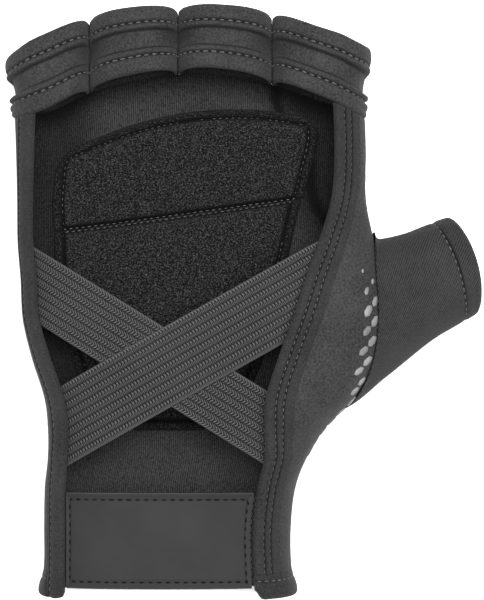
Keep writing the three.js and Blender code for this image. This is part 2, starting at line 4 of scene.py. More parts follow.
import bpy
import numpy as np
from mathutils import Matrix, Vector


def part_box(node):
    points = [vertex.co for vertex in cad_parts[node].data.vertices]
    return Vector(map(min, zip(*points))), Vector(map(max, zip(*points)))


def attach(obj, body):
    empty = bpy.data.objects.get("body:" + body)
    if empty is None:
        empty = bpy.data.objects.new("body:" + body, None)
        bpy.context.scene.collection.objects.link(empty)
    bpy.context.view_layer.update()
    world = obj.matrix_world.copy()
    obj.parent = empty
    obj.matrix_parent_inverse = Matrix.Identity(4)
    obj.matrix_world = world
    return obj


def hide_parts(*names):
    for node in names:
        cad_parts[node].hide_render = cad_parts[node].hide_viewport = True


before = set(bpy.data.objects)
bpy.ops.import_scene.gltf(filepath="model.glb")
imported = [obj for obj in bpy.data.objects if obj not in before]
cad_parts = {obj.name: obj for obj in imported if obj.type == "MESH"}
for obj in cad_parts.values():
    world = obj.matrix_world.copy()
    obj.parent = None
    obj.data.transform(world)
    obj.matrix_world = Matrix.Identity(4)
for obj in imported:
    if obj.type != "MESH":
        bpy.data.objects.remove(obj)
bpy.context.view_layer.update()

# Palm shell
# The soft stretch body of the glove. It runs from the little-finger edge of the open back, round the palm,
# to the thumb edge, and is cut from a bonded cloth: smooth and fine outside, with close lengthwise knitted
# ribs inside.
MILLIMETRE = 0.001
KNUCKLE_WIDTH = 93
PALM_LENGTH = 139
HAND_DEPTH = 36
SQUARENESS = 2.6
SETTLE = 1.1
WALL = 1.8
SEAM_GAP = 0.3
LITTLE_TAPE_WIDTH = 6
THUMB_TAPE_WIDTH = 7.6
CUFF_HEM_WIDTH = 6.2
CUFF_RISE = 2
HALF_WIDTH = KNUCKLE_WIDTH / 2

# The worn form from the cuff to the finger loops, as in the solids: along is a share of PALM_LENGTH, depth
# of HAND_DEPTH, and the others of HALF_WIDTH.
FORM = {
    "along": [0, 0.055, 0.13, 0.205, 0.262, 0.318, 0.374, 0.45, 0.525, 0.6, 0.675, 0.755, 0.85, 0.95, 1.05],
    "little_side": [-0.84, -0.82, -0.82, -0.817, -0.8, -0.8, -0.82, -0.893, -0.948, -0.963, -0.983, -0.989,
                    -1.0, -1.013, -1.013],
    "little_edge": [-0.7, -0.7, -0.7, -0.702, -0.695, -0.688, -0.715, -0.795, -0.862, -0.88, -0.905, -0.905,
                    -0.9, -0.887, -0.87],
    "thumb_edge": [0.38, 0.37, 0.365, 0.39, 0.428, 0.425, 0.43, 0.5, 0.582, 0.655, 0.737, 0.81,
                   0.828, 0.82, 0.81],
    "thumb_side": [0.6, 0.575, 0.573, 0.6, 0.665, 0.77, 0.93, 1.06, 1.115, 1.11, 1.05, 1.006,
                   1.008, 1.0, 0.995],
    "depth": [0.94, 0.945, 0.95, 0.96, 0.98, 1.0, 1.0, 0.99, 0.97, 0.945, 0.905, 0.86, 0.805, 0.755, 0.73],
}
KNUCKLE_ARC = {
    "across": [-1.07, -0.85, -0.58, -0.3, -0.07, 0.15, 0.47, 0.74, 1.0],
    "rear": [0.911, 0.92, 0.965, 0.989, 1.0, 0.999, 0.98, 0.947, 0.911],
    "length": [0.93, 1.12, 1.06, 1.0, 0.94, 0.95, 1.0, 1.02, 1.1],
}

# The hand's own axis lies this far from the middle of the frame, so the two are lined up on pieces of the
# frame.
FIRST_LOOP_EDGE = -0.073 * HALF_WIDTH - SEAM_GAP / 2
CLOSURE_START = 3.2
SHIFT = np.array([
    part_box("finger_loop_ring")[1].x / MILLIMETRE - FIRST_LOOP_EDGE,
    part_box("wrist_patch")[0].y / MILLIMETRE - CLOSURE_START,
    0,
])


def sample(table, key, column, at):
    """A smooth curve through one column of a table that is ordered by its key column."""
    keys, values = np.array(table[key], float), np.array(table[column], float)
    at = np.asarray(at, float)
    first, last = np.maximum(np.arange(len(keys)) - 1, 0), np.minimum(np.arange(len(keys)) + 1, len(keys) - 1)
    slopes = (values[last] - values[first]) / (keys[last] - keys[first])
    i = np.clip(np.searchsorted(keys, at, side="right") - 1, 0, len(keys) - 2)
    span = keys[i + 1] - keys[i]
    u = np.clip((at - keys[i]) / span, 0, 1)
    ease = u * u * (3 - 2 * u)
    bend = u * (1 - u) * (1 - u) * slopes[i] - u * u * (1 - u) * slopes[i + 1]
    return values[i] + (values[i + 1] - values[i]) * ease + span * bend


def mix(a, b, share):
    return a + (b - a) * share


def signed_power(value, exponent):
    return np.sign(value) * np.abs(value) ** exponent


def smooth_step(low, high, value):
    share = np.clip((value - low) / (high - low), 0, 1)
    return share * share * (3 - 2 * share)


def form_section(y):
    """The hand form's section at a distance y from the cuff."""
    share = np.asarray(y, float) / PALM_LENGTH
    at = {name: sample(FORM, "along", name, share) for name in FORM if name != "along"}
    little, thumb = at["little_side"] * HALF_WIDTH, at["thumb_side"] * HALF_WIDTH
    depth = at["depth"] * HAND_DEPTH + SETTLE
    section = SimpleNamespace(
        x=(little + thumb) / 2, z=depth / 2 - SETTLE, half_width=(thumb - little) / 2, half_depth=depth / 2
    )
    for edge in ("little", "thumb"):
        share = (at[edge + "_edge"] * HALF_WIDTH - section.x) / section.half_width
        setattr(section, edge + "_angle", np.arccos(signed_power(share, SQUARENESS / 2)))
    return section


def rounded_point(section, angle, inset, squareness, side_inset=None):
    """x and z of a rounded section at an angle from its thumb side, counted over the back of the hand."""
    side_inset = inset if side_inset is None else side_inset
    x = section.x + (section.half_width - side_inset) * signed_power(np.cos(angle), 2 / squareness)
    z = section.z + (section.half_depth - inset) * signed_power(np.sin(angle), 2 / squareness)
    return x, z


# The wall's outer line is worked out once, at every WALL_ROW_STEP of y and at WALL_POINTS equal steps round
# it.
WALL_ROW_STEP = 0.5
WALL_POINTS = 481
wall_rows = np.arange(0, PALM_LENGTH * FORM["along"][-1], WALL_ROW_STEP)
wall_xz = np.zeros((len(wall_rows), WALL_POINTS, 2))
wall_lengths = np.zeros(len(wall_rows))
for row, y in enumerate(wall_rows):
    section = form_section(y)
    angles = np.linspace(section.little_angle, 2 * math.pi + section.thumb_angle, WALL_POINTS)
    x, z = rounded_point(section, angles, 0, SQUARENESS)
    z = np.maximum(z, 0)
    distances = np.concatenate([[0], np.cumsum(np.hypot(np.diff(x), np.diff(z)))])
    even = np.linspace(0, distances[-1], WALL_POINTS)
    wall_xz[row] = np.stack([np.interp(even, distances, x), np.interp(even, distances, z)], -1)
    wall_lengths[row] = distances[-1]
NORMAL_REACH = 3  # points on each side that a normal is taken over, which rounds the settled corners
ahead = np.clip(np.arange(WALL_POINTS) + NORMAL_REACH, 0, WALL_POINTS - 1)
behind = np.clip(np.arange(WALL_POINTS) - NORMAL_REACH, 0, WALL_POINTS - 1)
wall_tangents = wall_xz[:, ahead] - wall_xz[:, behind]
wall_tangents /= np.linalg.norm(wall_tangents, axis=-1, keepdims=True)


def wall_length(y):
    return np.interp(y, wall_rows, wall_lengths)


def on_wall(y, s, inset):
    """x and z on the wall at a distance s from its little-finger end, moved inwards by inset."""
    row = np.clip(np.asarray(y) / WALL_ROW_STEP, 0, len(wall_rows) - 1.001)
    point = np.clip(s / wall_length(y), 0, 1) * (WALL_POINTS - 1)
    point = np.clip(point, 0, WALL_POINTS - 1.001)
    i, j = row.astype(int), point.astype(int)
    u, v = (row - i)[..., None], (point - j)[..., None]

    def blended(values):
        return mix(mix(values[i, j], values[i, j + 1], v), mix(values[i + 1, j], values[i + 1, j + 1], v), u)

    place, tangent = blended(wall_xz), blended(wall_tangents)
    return place[..., 0] - tangent[..., 1] * inset, place[..., 1] + tangent[..., 0] * inset


def knuckle_rear(x):
    return sample(KNUCKLE_ARC, "across", "rear", x / HALF_WIDTH) * PALM_LENGTH


FRONT_WARP = 0.55
FRONT_REACH = 2.2  # how far the cloth between the fingers' sides runs on below the loops' rear hems
FRONT_REACH_HEIGHTS = (12, 6)  # where that begins, and where it is full


def front_reach(z):
    return FRONT_REACH * smooth_step(*FRONT_REACH_HEIGHTS, z)


def wall_point(along, place, inset, start):
    """Points of the wall. along runs from the cuff (0) to the finger loops (1), and place gives the distance
    along the wall's line from its length."""
    along, inset = np.asarray(along, float), np.asarray(inset, float)
    nearest = float(knuckle_rear(-HALF_WIDTH)) - SEAM_GAP
    bend = np.clip((along - FRONT_WARP) / (1 - FRONT_WARP), 0, 1) ** 2
    y = mix(start, nearest, along)
    for _ in range(3):
        x, z = on_wall(y, place(wall_length(y)), inset)
        y = mix(start, nearest, along) + bend * (knuckle_rear(x) - SEAM_GAP - nearest)
    x, z = on_wall(y, place(wall_length(y)), inset)
    rise = CUFF_RISE * (1 - z / HAND_DEPTH) * np.clip(1 - along, 0, 1) ** 4
    return np.stack(np.broadcast_arrays(x, y + rise, np.maximum(z, 0)), -1)


def ripple(u, v, size, seed):
    """A soft uneven swell between -1 and 1 for cloth that isn't quite flat."""
    turns = np.array([0.3, 1.5, 2.6, 4.1, 5.2]) + seed
    waves = [
        np.sin((u * math.cos(t) + v * math.sin(t)) * (0.7 + 0.23 * k) * 2 * math.pi / size + 1.7 * k * seed)
        for k, t in enumerate(turns)
    ]
    return sum(waves) / len(waves)


def both_sides(outer, inner, rows, columns):
    """The points of two surfaces(u, v) at rows by columns even shares of u and v, and those shares."""
    u, v = np.meshgrid(np.linspace(0, 1, rows), np.linspace(0, 1, columns), indexing="ij")
    return outer(u, v), inner(u, v), u, v


def signed_volume(points, quads):
    total = 0
    for a, b, c in ((0, 1, 2), (0, 2, 3)):
        corner = [points[quads[:, k]] for k in (a, b, c)]
        total += np.einsum("ij,ij->", corner[0], np.cross(corner[1], corner[2]))
    return total


def linked(name, data):
    """A new object in the scene."""
    made = bpy.data.objects.new(name, data)
    bpy.context.scene.collection.objects.link(made)
    return made


def mesh_object(name, points, quads, uvs, materials, slots, painted_shade):
    """A smooth mesh from points in millimetres on the hand's axis, its quads facing out. The last
    argument, up to 1 at the first points, is painted shade, for points in a sewn groove, a fold or another
    shaded place. Below 0 it makes the colour lighter instead."""
    if signed_volume(points, quads) < 0:
        quads, uvs = quads[:, ::-1], uvs[:, ::-1]
    mesh = bpy.data.meshes.new(name)
    mesh.from_pydata((points + SHIFT) * MILLIMETRE, [], quads.tolist())
    mesh.uv_layers.new(name="cloth").data.foreach_set("uv", uvs.astype(np.float32).ravel())
    for material in materials:
        mesh.materials.append(material)
    mesh.polygons.foreach_set("material_index", slots.astype(np.int32))
    if painted_shade is not None:
        depths = np.zeros(len(points), np.float32)
        depths[: painted_shade.size] = np.minimum(painted_shade.ravel(), 1)
        mesh.attributes.new("painted_shade", "FLOAT", "POINT").data.foreach_set("value", depths)
    mesh.shade_smooth()
    return linked(name, mesh)


def walled(name, outer, inner, uv, materials, wraps=False, painted_shade=None):
    """A closed wall between two grids of points. Its inner side takes the last material. uv is in
    millimetres, with one more row than the grids where they wrap. The painted shade is given for the outer
    side, or for both."""
    rows, columns = outer.shape[:2]
    points = np.concatenate([outer.reshape(-1, 3), inner.reshape(-1, 3)])
    quads, corners, slots = [], [], []

    def add(steps, slot):
        """steps are the four corners: side, row and column."""
        quads.append(np.stack([side * rows * columns + (i % rows) * columns + j for side, i, j in steps], -1))
        corners.append(np.stack([uv[i, j] for _, i, j in steps], -2))
        slots.append(np.full(quads[-1].shape[:-1], slot))

    i, j = np.meshgrid(np.arange(rows if wraps else rows - 1), np.arange(columns - 1), indexing="ij")
    add([(0, i, j), (0, i + 1, j), (0, i + 1, j + 1), (0, i, j + 1)], 0)
    add([(1, i, j), (1, i, j + 1), (1, i + 1, j + 1), (1, i + 1, j)], len(materials) - 1)
    i = np.arange(rows if wraps else rows - 1)
    for j, sides in ((np.zeros_like(i), (0, 1)), (np.full_like(i, columns - 1), (1, 0))):
        a, b = sides
        add([(a, i, j), (b, i, j), (b, i + 1, j), (a, i + 1, j)], 0)
    if not wraps:
        j = np.arange(columns - 1)
        for i, sides in ((np.zeros_like(j), (1, 0)), (np.full_like(j, rows - 1), (0, 1))):
            a, b = sides
            add([(a, i, j), (b, i, j), (b, i, j + 1), (a, i, j + 1)], 0)
    quads = np.concatenate([q.reshape(-1, 4) for q in quads])
    corners = np.concatenate([c.reshape(-1, 4, 2) for c in corners])
    slots = np.concatenate([s.ravel() for s in slots])
    return mesh_object(name, points, quads, corners, materials, slots, painted_shade)


def groove(share, *lines, width):
    """1 on each line of shares, falling to 0 within about a width of it."""
    return sum(np.exp(-(((share - line) / width) ** 2)) for line in lines)


def add_node(tree, kind, inputs=(), **settings):
    """A node whose inputs are set by name or number, to a value or to another node's output."""
    made = tree.nodes.new(kind)
    for key, value in settings.items():
        setattr(made, key, value)
    for key, value in dict(inputs).items():
        if isinstance(value, bpy.types.NodeSocket):
            tree.links.new(value, made.inputs[key])
        else:
            made.inputs[key].default_value = value
    return made


def calculate(tree, operation, a, b=0.0, c=0.0):
    return add_node(tree, "ShaderNodeMath", {0: a, 1: b, 2: c}, operation=operation).outputs[0]


def spread(tree, value, low, high, bottom=0.0, top=1.0):
    """Maps low to bottom and high to top, and holds what lies beyond."""
    return add_node(tree, "ShaderNodeMapRange", {0: value, 1: low, 2: high, 3: bottom, 4: top}).outputs[0]


def shader_group(name, inputs, outputs):
    """An empty shader group with those inputs (name: default) and float outputs, and its two end nodes."""
    tree = bpy.data.node_groups.new(name, "ShaderNodeTree")
    for key, default in inputs.items():
        kind = "NodeSocketVector" if default is None else "NodeSocketFloat"
        socket = tree.interface.new_socket(key, in_out="INPUT", socket_type=kind)
        if default is not None:
            socket.default_value = default
    for key in outputs:
        tree.interface.new_socket(key, in_out="OUTPUT", socket_type="NodeSocketFloat")
    return tree, tree.nodes.new("NodeGroupInput").outputs, tree.nodes.new("NodeGroupOutput").inputs


# Cloth grain: a fine even grain and slow blotches of wear, both from the piece's own coordinates in metres.
cloth_grain, given, out = shader_group(
    "cloth_grain", {"Vector": None, "Grain Size": 0.0006, "Blotch Size": 0.012}, ["Grain", "Blotch"]
)
for output, size, detail in (("Grain", "Grain Size", 3.0), ("Blotch", "Blotch Size", 2.0)):
    scale = calculate(cloth_grain, "DIVIDE", 1.0, given[size])
    noise = add_node(cloth_grain, "ShaderNodeTexNoise", {
        "Vector": given["Vector"], "Detail": detail, "Scale": scale,
    })
    cloth_grain.links.new(spread(cloth_grain, noise.outputs["Fac"], 0.3, 0.7), out[output])

# Fine lines: parallel ribs at a pitch in millimetres and a turn in degrees, on the piece's own cloth map.
fine_lines, given, out = shader_group(
    "fine_lines", {"Vector": None, "Pitch": 0.7, "Turn": 0.0, "Wander": 0.2}, ["Line"]
)
turned = add_node(fine_lines, "ShaderNodeVectorRotate", {
    "Vector": given["Vector"], "Angle": calculate(fine_lines, "RADIANS", given["Turn"]),
}, rotation_type="Z_AXIS")
uneven = add_node(fine_lines, "ShaderNodeTexNoise", {"Vector": given["Vector"], "Scale": 0.9, "Detail": 2.0})
parts = add_node(fine_lines, "ShaderNodeSeparateXYZ", {0: turned.outputs[0]})
drift = calculate(
    fine_lines, "MULTIPLY", calculate(fine_lines, "SUBTRACT", uneven.outputs["Fac"], 0.5), given["Wander"]
)
phase = calculate(
    fine_lines, "DIVIDE", calculate(fine_lines, "ADD", parts.outputs["X"], drift),
    calculate(fine_lines, "DIVIDE", given["Pitch"], 2 * math.pi),
)
wave = calculate(fine_lines, "SINE", phase)
fine_lines.links.new(calculate(fine_lines, "MULTIPLY_ADD", wave, 0.5, 0.5), out["Line"])


def grey(value):
    return (value, value, value * 1.015, 1.0)


# Painted shade in creases and shaded places takes this part of a cloth's colour ramp, at this darkness.
PAINTED_SHADE_SHARE = 0.2  # the part of a cloth's colour ramp that its creases take
PAINTED_SHADE_DARKNESS = 0.25  # how dark a crease is beside the dark of its cloth
CLOTH_SHINE = 0.1


def fabric(name, dark, light, roughness, sheen, relief, pattern):
    """A cloth material. pattern(tree, object coordinates, cloth map) gives a mask from dark to light and a
    height. relief is how many millimetres that height stands for. Painted shade makes creases darker still."""
    material = bpy.data.materials.new(name)
    material.use_nodes = True
    tree = material.node_tree
    shader = tree.nodes["Principled BSDF"]
    coordinates = tree.nodes.new("ShaderNodeTexCoord").outputs
    mask, height = pattern(tree, coordinates["Object"], coordinates["UV"])
    # Painted shade: the piece's attribute darkens the colour where shade falls, and lightens it below 0.
    painted_shade = tree.nodes.new("ShaderNodeAttribute")
    painted_shade.attribute_name = "painted_shade"
    unshaded = calculate(tree, "SUBTRACT", 1.0, painted_shade.outputs["Fac"])
    shade = calculate(tree, "MULTIPLY_ADD", mask, 1 - PAINTED_SHADE_SHARE, PAINTED_SHADE_SHARE)
    ramp = add_node(tree, "ShaderNodeValToRGB", {0: calculate(tree, "MULTIPLY", shade, unshaded)})
    ramp.color_ramp.elements[0].color = grey(dark * PAINTED_SHADE_DARKNESS)
    ramp.color_ramp.elements[1].color = grey(light)
    ramp.color_ramp.elements.new(PAINTED_SHADE_SHARE).color = grey(dark)
    tree.links.new(ramp.outputs["Color"], shader.inputs["Base Color"])
    bump = add_node(tree, "ShaderNodeBump", {
        "Height": height, "Distance": relief * MILLIMETRE, "Strength": 1.0,
    })
    tree.links.new(bump.outputs["Normal"], shader.inputs["Normal"])
    shader.inputs["Roughness"].default_value = roughness
    shader.inputs["Sheen Weight"].default_value = sheen
    shader.inputs["Sheen Roughness"].default_value = 0.5
    shader.inputs["Specular IOR Level"].default_value = CLOTH_SHINE
    return material


def grained(tree, place, grain_size, grain_share):
    """The cloth grain's mask, which mixes its grain and its blotches by grain_share, and its height."""
    grain = add_node(tree, "ShaderNodeGroup", node_tree=cloth_grain)
    tree.links.new(place, grain.inputs["Vector"])
    grain.inputs["Grain Size"].default_value = grain_size * MILLIMETRE
    height = grain.outputs["Grain"]
    weighted = calculate(tree, "MULTIPLY", grain.outputs["Blotch"], 1 - grain_share)
    return calculate(tree, "MULTIPLY_ADD", height, grain_share, weighted), height


def lined(tree, cloth_map, pitch, turn, wander):
    """The fine lines' mask."""
    lines = add_node(tree, "ShaderNodeGroup", node_tree=fine_lines)
    tree.links.new(cloth_map, lines.inputs["Vector"])
    lines.inputs["Pitch"].default_value = pitch
    lines.inputs["Turn"].default_value = turn
    lines.inputs["Wander"].default_value = wander
    return lines.outputs["Line"]


def grain_pattern(size, share):
    """The pattern of a cloth that shows its grain alone."""
    return lambda tree, place, cloth_map: grained(tree, place, size, share)


def mixed_masks(tree, a, b, share):
    """share of a mask a, and the rest of a mask b."""
    return calculate(tree, "MULTIPLY_ADD", a, share, calculate(tree, "MULTIPLY", b, 1 - share))


def palm_knit_pattern(tree, place, cloth_map):
    mask, grain = grained(tree, place, 0.5, 0.75)
    line = lined(tree, cloth_map, 0.66, 0, 0.25)
    both = calculate(tree, "MULTIPLY", line, calculate(tree, "MULTIPLY_ADD", grain, 1.1, 0.2))
    return mixed_masks(tree, both, mask, 0.6), both


stretch_cloth = fabric("stretch_cloth", 0.008, 0.0355, 0.9, 0.04, 0.14, grain_pattern(0.55, 0.75))
palm_knit = fabric("palm_knit", 0.003, 0.0425, 0.95, 0.02, 0.25, palm_knit_pattern)

SHELL_START = CUFF_HEM_WIDTH + SEAM_GAP
SHELL_LIFT = 0.35  # the print under the palm stands this far out, so the cloth between lies that much higher
SEWN_GAP = 0.05  # what shows of the seam where two cloths are sewn edge to edge
SHELL_RIPPLE = 0.25
SHELL_AROUND, SHELL_ALONG = 190, 130
# Painted shade: a dark line for the shadow of a long fold beside the thumb, and shade near the edges.
LINING_SHADE_REACH, LINING_SHADE_SPLAY = 31, 9  # how far the lining's long fold lies from the thumb edge
LINING_SHADE_DARKNESS, LINING_SHADE_WIDTH = 0.6, 1.6
SIDE_SHADE, FRONT_SHADE, CUFF_SHADE = 0.5, 0.35, 0.28  # how much the cloth darkens towards its own edges


def shell_place(across):
    return lambda length: mix(LITTLE_TAPE_WIDTH + SEWN_GAP, length - THUMB_TAPE_WIDTH - SEWN_GAP, across)


def shell_skin(points):
    """Gives points of the wall the palm cloth's own lift off the floor and its soft unevenness."""
    swell = ripple(points[..., 0] + points[..., 2], points[..., 1], 31, 2) * SHELL_RIPPLE
    points[..., 2] = np.maximum(points[..., 2], SHELL_LIFT) + swell * smooth_step(1.5, 6, points[..., 2])
    return points


def shell_surface(inset):
    def surface(across, along):
        points = shell_skin(wall_point(along, shell_place(across), inset, SHELL_START))
        points[..., 1] += front_reach(points[..., 2]) * smooth_step(0.94, 1, along)
        return points

    return surface


outside, inside, across, along = both_sides(shell_surface(0), shell_surface(WALL), SHELL_AROUND, SHELL_ALONG)
shell_map = np.stack([across * wall_length(outside[..., 1]), outside[..., 1]], -1)
from_thumb_edge = (1 - across) * wall_length(inside[..., 1])
from_little_edge = across * wall_length(inside[..., 1])
# Painted shade on the lining, darker along the fold's line, towards its sides and under the loops.
shade_reach = LINING_SHADE_REACH + LINING_SHADE_SPLAY * smooth_step(116, 134, inside[..., 1])
painted_lining_shade = LINING_SHADE_DARKNESS * groove(from_thumb_edge, shade_reach, width=LINING_SHADE_WIDTH)
painted_lining_shade *= smooth_step(0.5, 0.68, along)
side_shade = SIDE_SHADE * smooth_step(46, 30, from_thumb_edge)
side_shade += SIDE_SHADE * smooth_step(42, 24, from_little_edge)
painted_lining_shade += side_shade * smooth_step(0.15, 0.45, along)
painted_lining_shade += FRONT_SHADE * smooth_step(0.96, 1, along)
# Painted shade: the lining's, and on the outside, towards the cuff.
palm = walled(
    "palm_body", outside, inside, shell_map, [stretch_cloth, palm_knit],
    painted_shade=np.stack([CUFF_SHADE * smooth_step(0.25, 0, along), painted_lining_shade]),
)

# Palm pads
# Two pads of thin foam under brushed loop felt, sewn flat to the inside of the palm. A line of stitches a
# little inside the border holds each one down, and the two meet at a narrow stitched seam below the
# fingers.
PAD_THICKNESS = 4.2
PAD_BORDER_THICKNESS = 2.0
PAD_BORDER = 2.7
PAD_SEAM_BORDER = 0.35
PAD_SHOULDER = 2.4
PAD_CLEARANCE = 0.45
PAD_STITCH_DEPTH, PAD_STITCH_WIDTH = 0.7, 0.45
PAD_EDGE_ROUND = 0.8
PAD_SWELL = 0.5  # how far the foam may push the felt up between the stitches
PAD_NAP = 0.12  # the felt's own unevenness
PAD_ACROSS, PAD_ALONG = 130, 100
SIM_ROWS, SIM_COLUMNS, SIM_FRAMES = 40, 34, 20
SIM_PRESSURE, SIM_STIFFNESS, SIM_MASS = 4.0, 5, 0.05
SIM_SEWN = 0.3  # the cloth is held down to this far inside the border
PAD_SEAM = {"left": 0.699, "right": 0.768, "low": -0.8, "high": 0.7}
UPPER_PAD = {
    "at": [0, 0.35, 0.65, 0.85, 1], "left": [-0.795, -0.805, -0.795, -0.78, -0.7],
    "right": [0.655, 0.7, 0.735, 0.735, 0.65],
}
UPPER_PAD_FRONT = {"crown": 0.944, "across": 0.25, "drop": 0.088}
LOWER_PAD = {
    "at": [0, 0.06, 0.16, 0.34, 0.55, 0.8, 1], "left": [-0.32, -0.46, -0.585, -0.68, -0.75, -0.785, -0.795],
    "right": [0.06, 0.2, 0.325, 0.43, 0.505, 0.58, 0.64],
}
LOWER_PAD_REAR = 0.314


def floor_under(x, y, lift):
    """The palm's inner floor below a plan point."""
    section = form_section(y)
    inset = WALL + lift
    share = np.minimum(0.999, np.abs(x - section.x) / (section.half_width - inset))
    sink = (1 - share ** SQUARENESS) ** (1 / SQUARENESS)
    return np.maximum(inset, section.z - (section.half_depth - inset) * sink)


def pad_seam(x):
    share = (x / HALF_WIDTH - PAD_SEAM["low"]) / (PAD_SEAM["high"] - PAD_SEAM["low"])
    return mix(PAD_SEAM["left"], PAD_SEAM["right"], np.clip(share, 0, 1)) * PALM_LENGTH


def pad_front(x):
    return (
        UPPER_PAD_FRONT["crown"] - UPPER_PAD_FRONT["drop"] * (x / HALF_WIDTH - UPPER_PAD_FRONT["across"]) ** 2
    ) * PALM_LENGTH


def pad_plan(pad, across, along):
    """A pad's plan point: its x and y, its distance inside the border (below 0 on the border itself), and its
    distance from the rim."""
    across, along = 0.5 - 0.5 * np.cos(math.pi * across), 0.5 - 0.5 * np.cos(math.pi * along)
    left = sample(pad.table, "at", "left", along) * HALF_WIDTH
    right = sample(pad.table, "at", "right", along) * HALF_WIDTH
    x = mix(left, right, across)
    rear, front = pad.rear(x), pad.front(x)
    sides = np.minimum(across, 1 - across) * (right - left)
    from_rear, from_front = along * (front - rear), (1 - along) * (front - rear)
    ends = np.minimum(from_rear - pad.rear_border, from_front - pad.front_border)
    rim = np.minimum(sides, np.minimum(along, 1 - along) * (front - rear))
    return x, mix(rear, front, along), np.minimum(sides - PAD_BORDER, ends), rim


def pad_surface(pad, is_top, swell=None):
    """A pad's upper or lower side. swell is what the cloth simulation raised, as a grid over the pad."""

    def surface(across, along):
        x, y, inside, rim = pad_plan(pad, across, along)
        low = floor_under(x, y, PAD_CLEARANCE)
        if not is_top:
            return np.stack([x, y, low], -1)
        dome = np.clip(inside / PAD_SHOULDER, 0, 1)
        height = mix(PAD_BORDER_THICKNESS, PAD_THICKNESS - PAD_SWELL, np.sqrt(dome * (2 - dome)))
        height = height - PAD_STITCH_DEPTH * np.exp(-((inside / PAD_STITCH_WIDTH) ** 2))
        height *= np.sqrt(np.clip(rim / PAD_EDGE_ROUND, 0.04, 1))
        if swell is not None:
            height = height + grid_value(swell, across, along)
        return np.stack([x, y, low + height], -1)

    return surface


def grid_value(values, u, v):
    """Reads a grid of values over the unit square between its points."""
    rows, columns = values.shape
    a, b = np.clip(u, 0, 1) * (rows - 1.001), np.clip(v, 0, 1) * (columns - 1.001)
    i, j = a.astype(int), b.astype(int)
    p, q = a - i, b - j
    p, q = p * p * (3 - 2 * p), q * q * (3 - 2 * q)
    return mix(mix(values[i, j], values[i, j + 1], q), mix(values[i + 1, j], values[i + 1, j + 1], q), p)


def simulated_swell(pad):
    """Inflates a copy of the pad with its border sewn down, and gives how far each point of its felt rose."""
    sides = pad_surface(pad, True), pad_surface(pad, False)
    top, bottom, across, along = both_sides(*sides, SIM_ROWS, SIM_COLUMNS)
    trial = walled("pad_trial", top, bottom, np.zeros((SIM_ROWS, SIM_COLUMNS, 2)), [felt])
    sewn = trial.vertex_groups.new(name="sewn")
    _, _, inside, _ = pad_plan(pad, across, along)
    held = [int(i) for i in np.flatnonzero(inside.ravel() < SIM_SEWN)]
    count = top[..., 0].size
    sewn.add(held + list(range(count, 2 * count)), 1.0, "REPLACE")
    cloth = trial.modifiers.new("felt", "CLOTH")
    cloth.settings.vertex_group_mass = "sewn"
    cloth.settings.use_pressure = True
    cloth.settings.uniform_pressure_force = SIM_PRESSURE
    cloth.settings.effector_weights.gravity = 0
    cloth.settings.tension_stiffness = cloth.settings.compression_stiffness = SIM_STIFFNESS
    cloth.settings.mass = SIM_MASS
    cloth.point_cache.frame_start, cloth.point_cache.frame_end = 1, SIM_FRAMES
    for step in range(1, SIM_FRAMES + 1):
        bpy.context.scene.frame_set(step)
    after = trial.evaluated_get(bpy.context.evaluated_depsgraph_get()).data
    places = np.zeros(len(after.vertices) * 3)
    after.vertices.foreach_get("co", places)
    risen = places.reshape(-1, 3)[:count, 2] / MILLIMETRE - top[..., 2].ravel()
    bpy.data.objects.remove(trial)
    bpy.context.scene.frame_set(1)
    return np.clip(risen, -PAD_SWELL, PAD_SWELL).reshape(SIM_ROWS, SIM_COLUMNS)


def felt_pattern(tree, place, cloth_map):
    speckle = add_node(
        tree, "ShaderNodeTexNoise", {"Vector": place, "Scale": 2600.0, "Detail": 3.0, "Roughness": 0.8}
    )
    tuft = add_node(tree, "ShaderNodeTexVoronoi", {"Vector": place, "Scale": 2600.0, "Randomness": 1.0})
    # The speckle is the felt's own grain; the lighter middle of each cell is painted highlight on its loop
    # tips.
    specks = spread(tree, speckle.outputs["Fac"], 0.48, 0.62)
    tip_highlights = calculate(tree, "SUBTRACT", 1.15, tuft.outputs["Distance"])
    return calculate(tree, "MULTIPLY", specks, tip_highlights), speckle.outputs["Fac"]


felt = fabric("pad_felt", 0.0004, 0.067, 1.0, 0.01, 0.7, felt_pattern)
upper_pad = SimpleNamespace(
    table=UPPER_PAD, rear=lambda x: pad_seam(x) + SEAM_GAP / 2, front=pad_front,
    rear_border=PAD_SEAM_BORDER, front_border=PAD_BORDER,
)
lower_pad = SimpleNamespace(
    table=LOWER_PAD, rear=lambda x: LOWER_PAD_REAR * PALM_LENGTH + 0 * x,
    front=lambda x: pad_seam(x) - SEAM_GAP / 2, rear_border=PAD_BORDER, front_border=PAD_SEAM_BORDER,
)
for name, pad in (("upper", upper_pad), ("lower", lower_pad)):
    swell = simulated_swell(pad)
    pad.surface = pad_surface(pad, True, swell)
    sides = pad.surface, pad_surface(pad, False)
    top, bottom, across, along = both_sides(*sides, PAD_ACROSS, PAD_ALONG)
    top[..., 2] += ripple(top[..., 0], top[..., 1], 2.6, 3) * PAD_NAP
    _, _, inside, _ = pad_plan(pad, across, along)
    # Painted shade in the sewn groove and over the low border.
    sewn_shade = 0.95 * groove(inside, 0, width=0.5) + 0.2 * smooth_step(0.4, -0.6, inside)
    piece = walled("felt_pad_" + name, top, bottom, top[..., :2], [felt], painted_shade=sewn_shade)
    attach(piece, "root")
    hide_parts("palm_pad_" + name)


NORMAL_SHARE = 0.002  # the share of a surface on each side that a line's normal is taken over


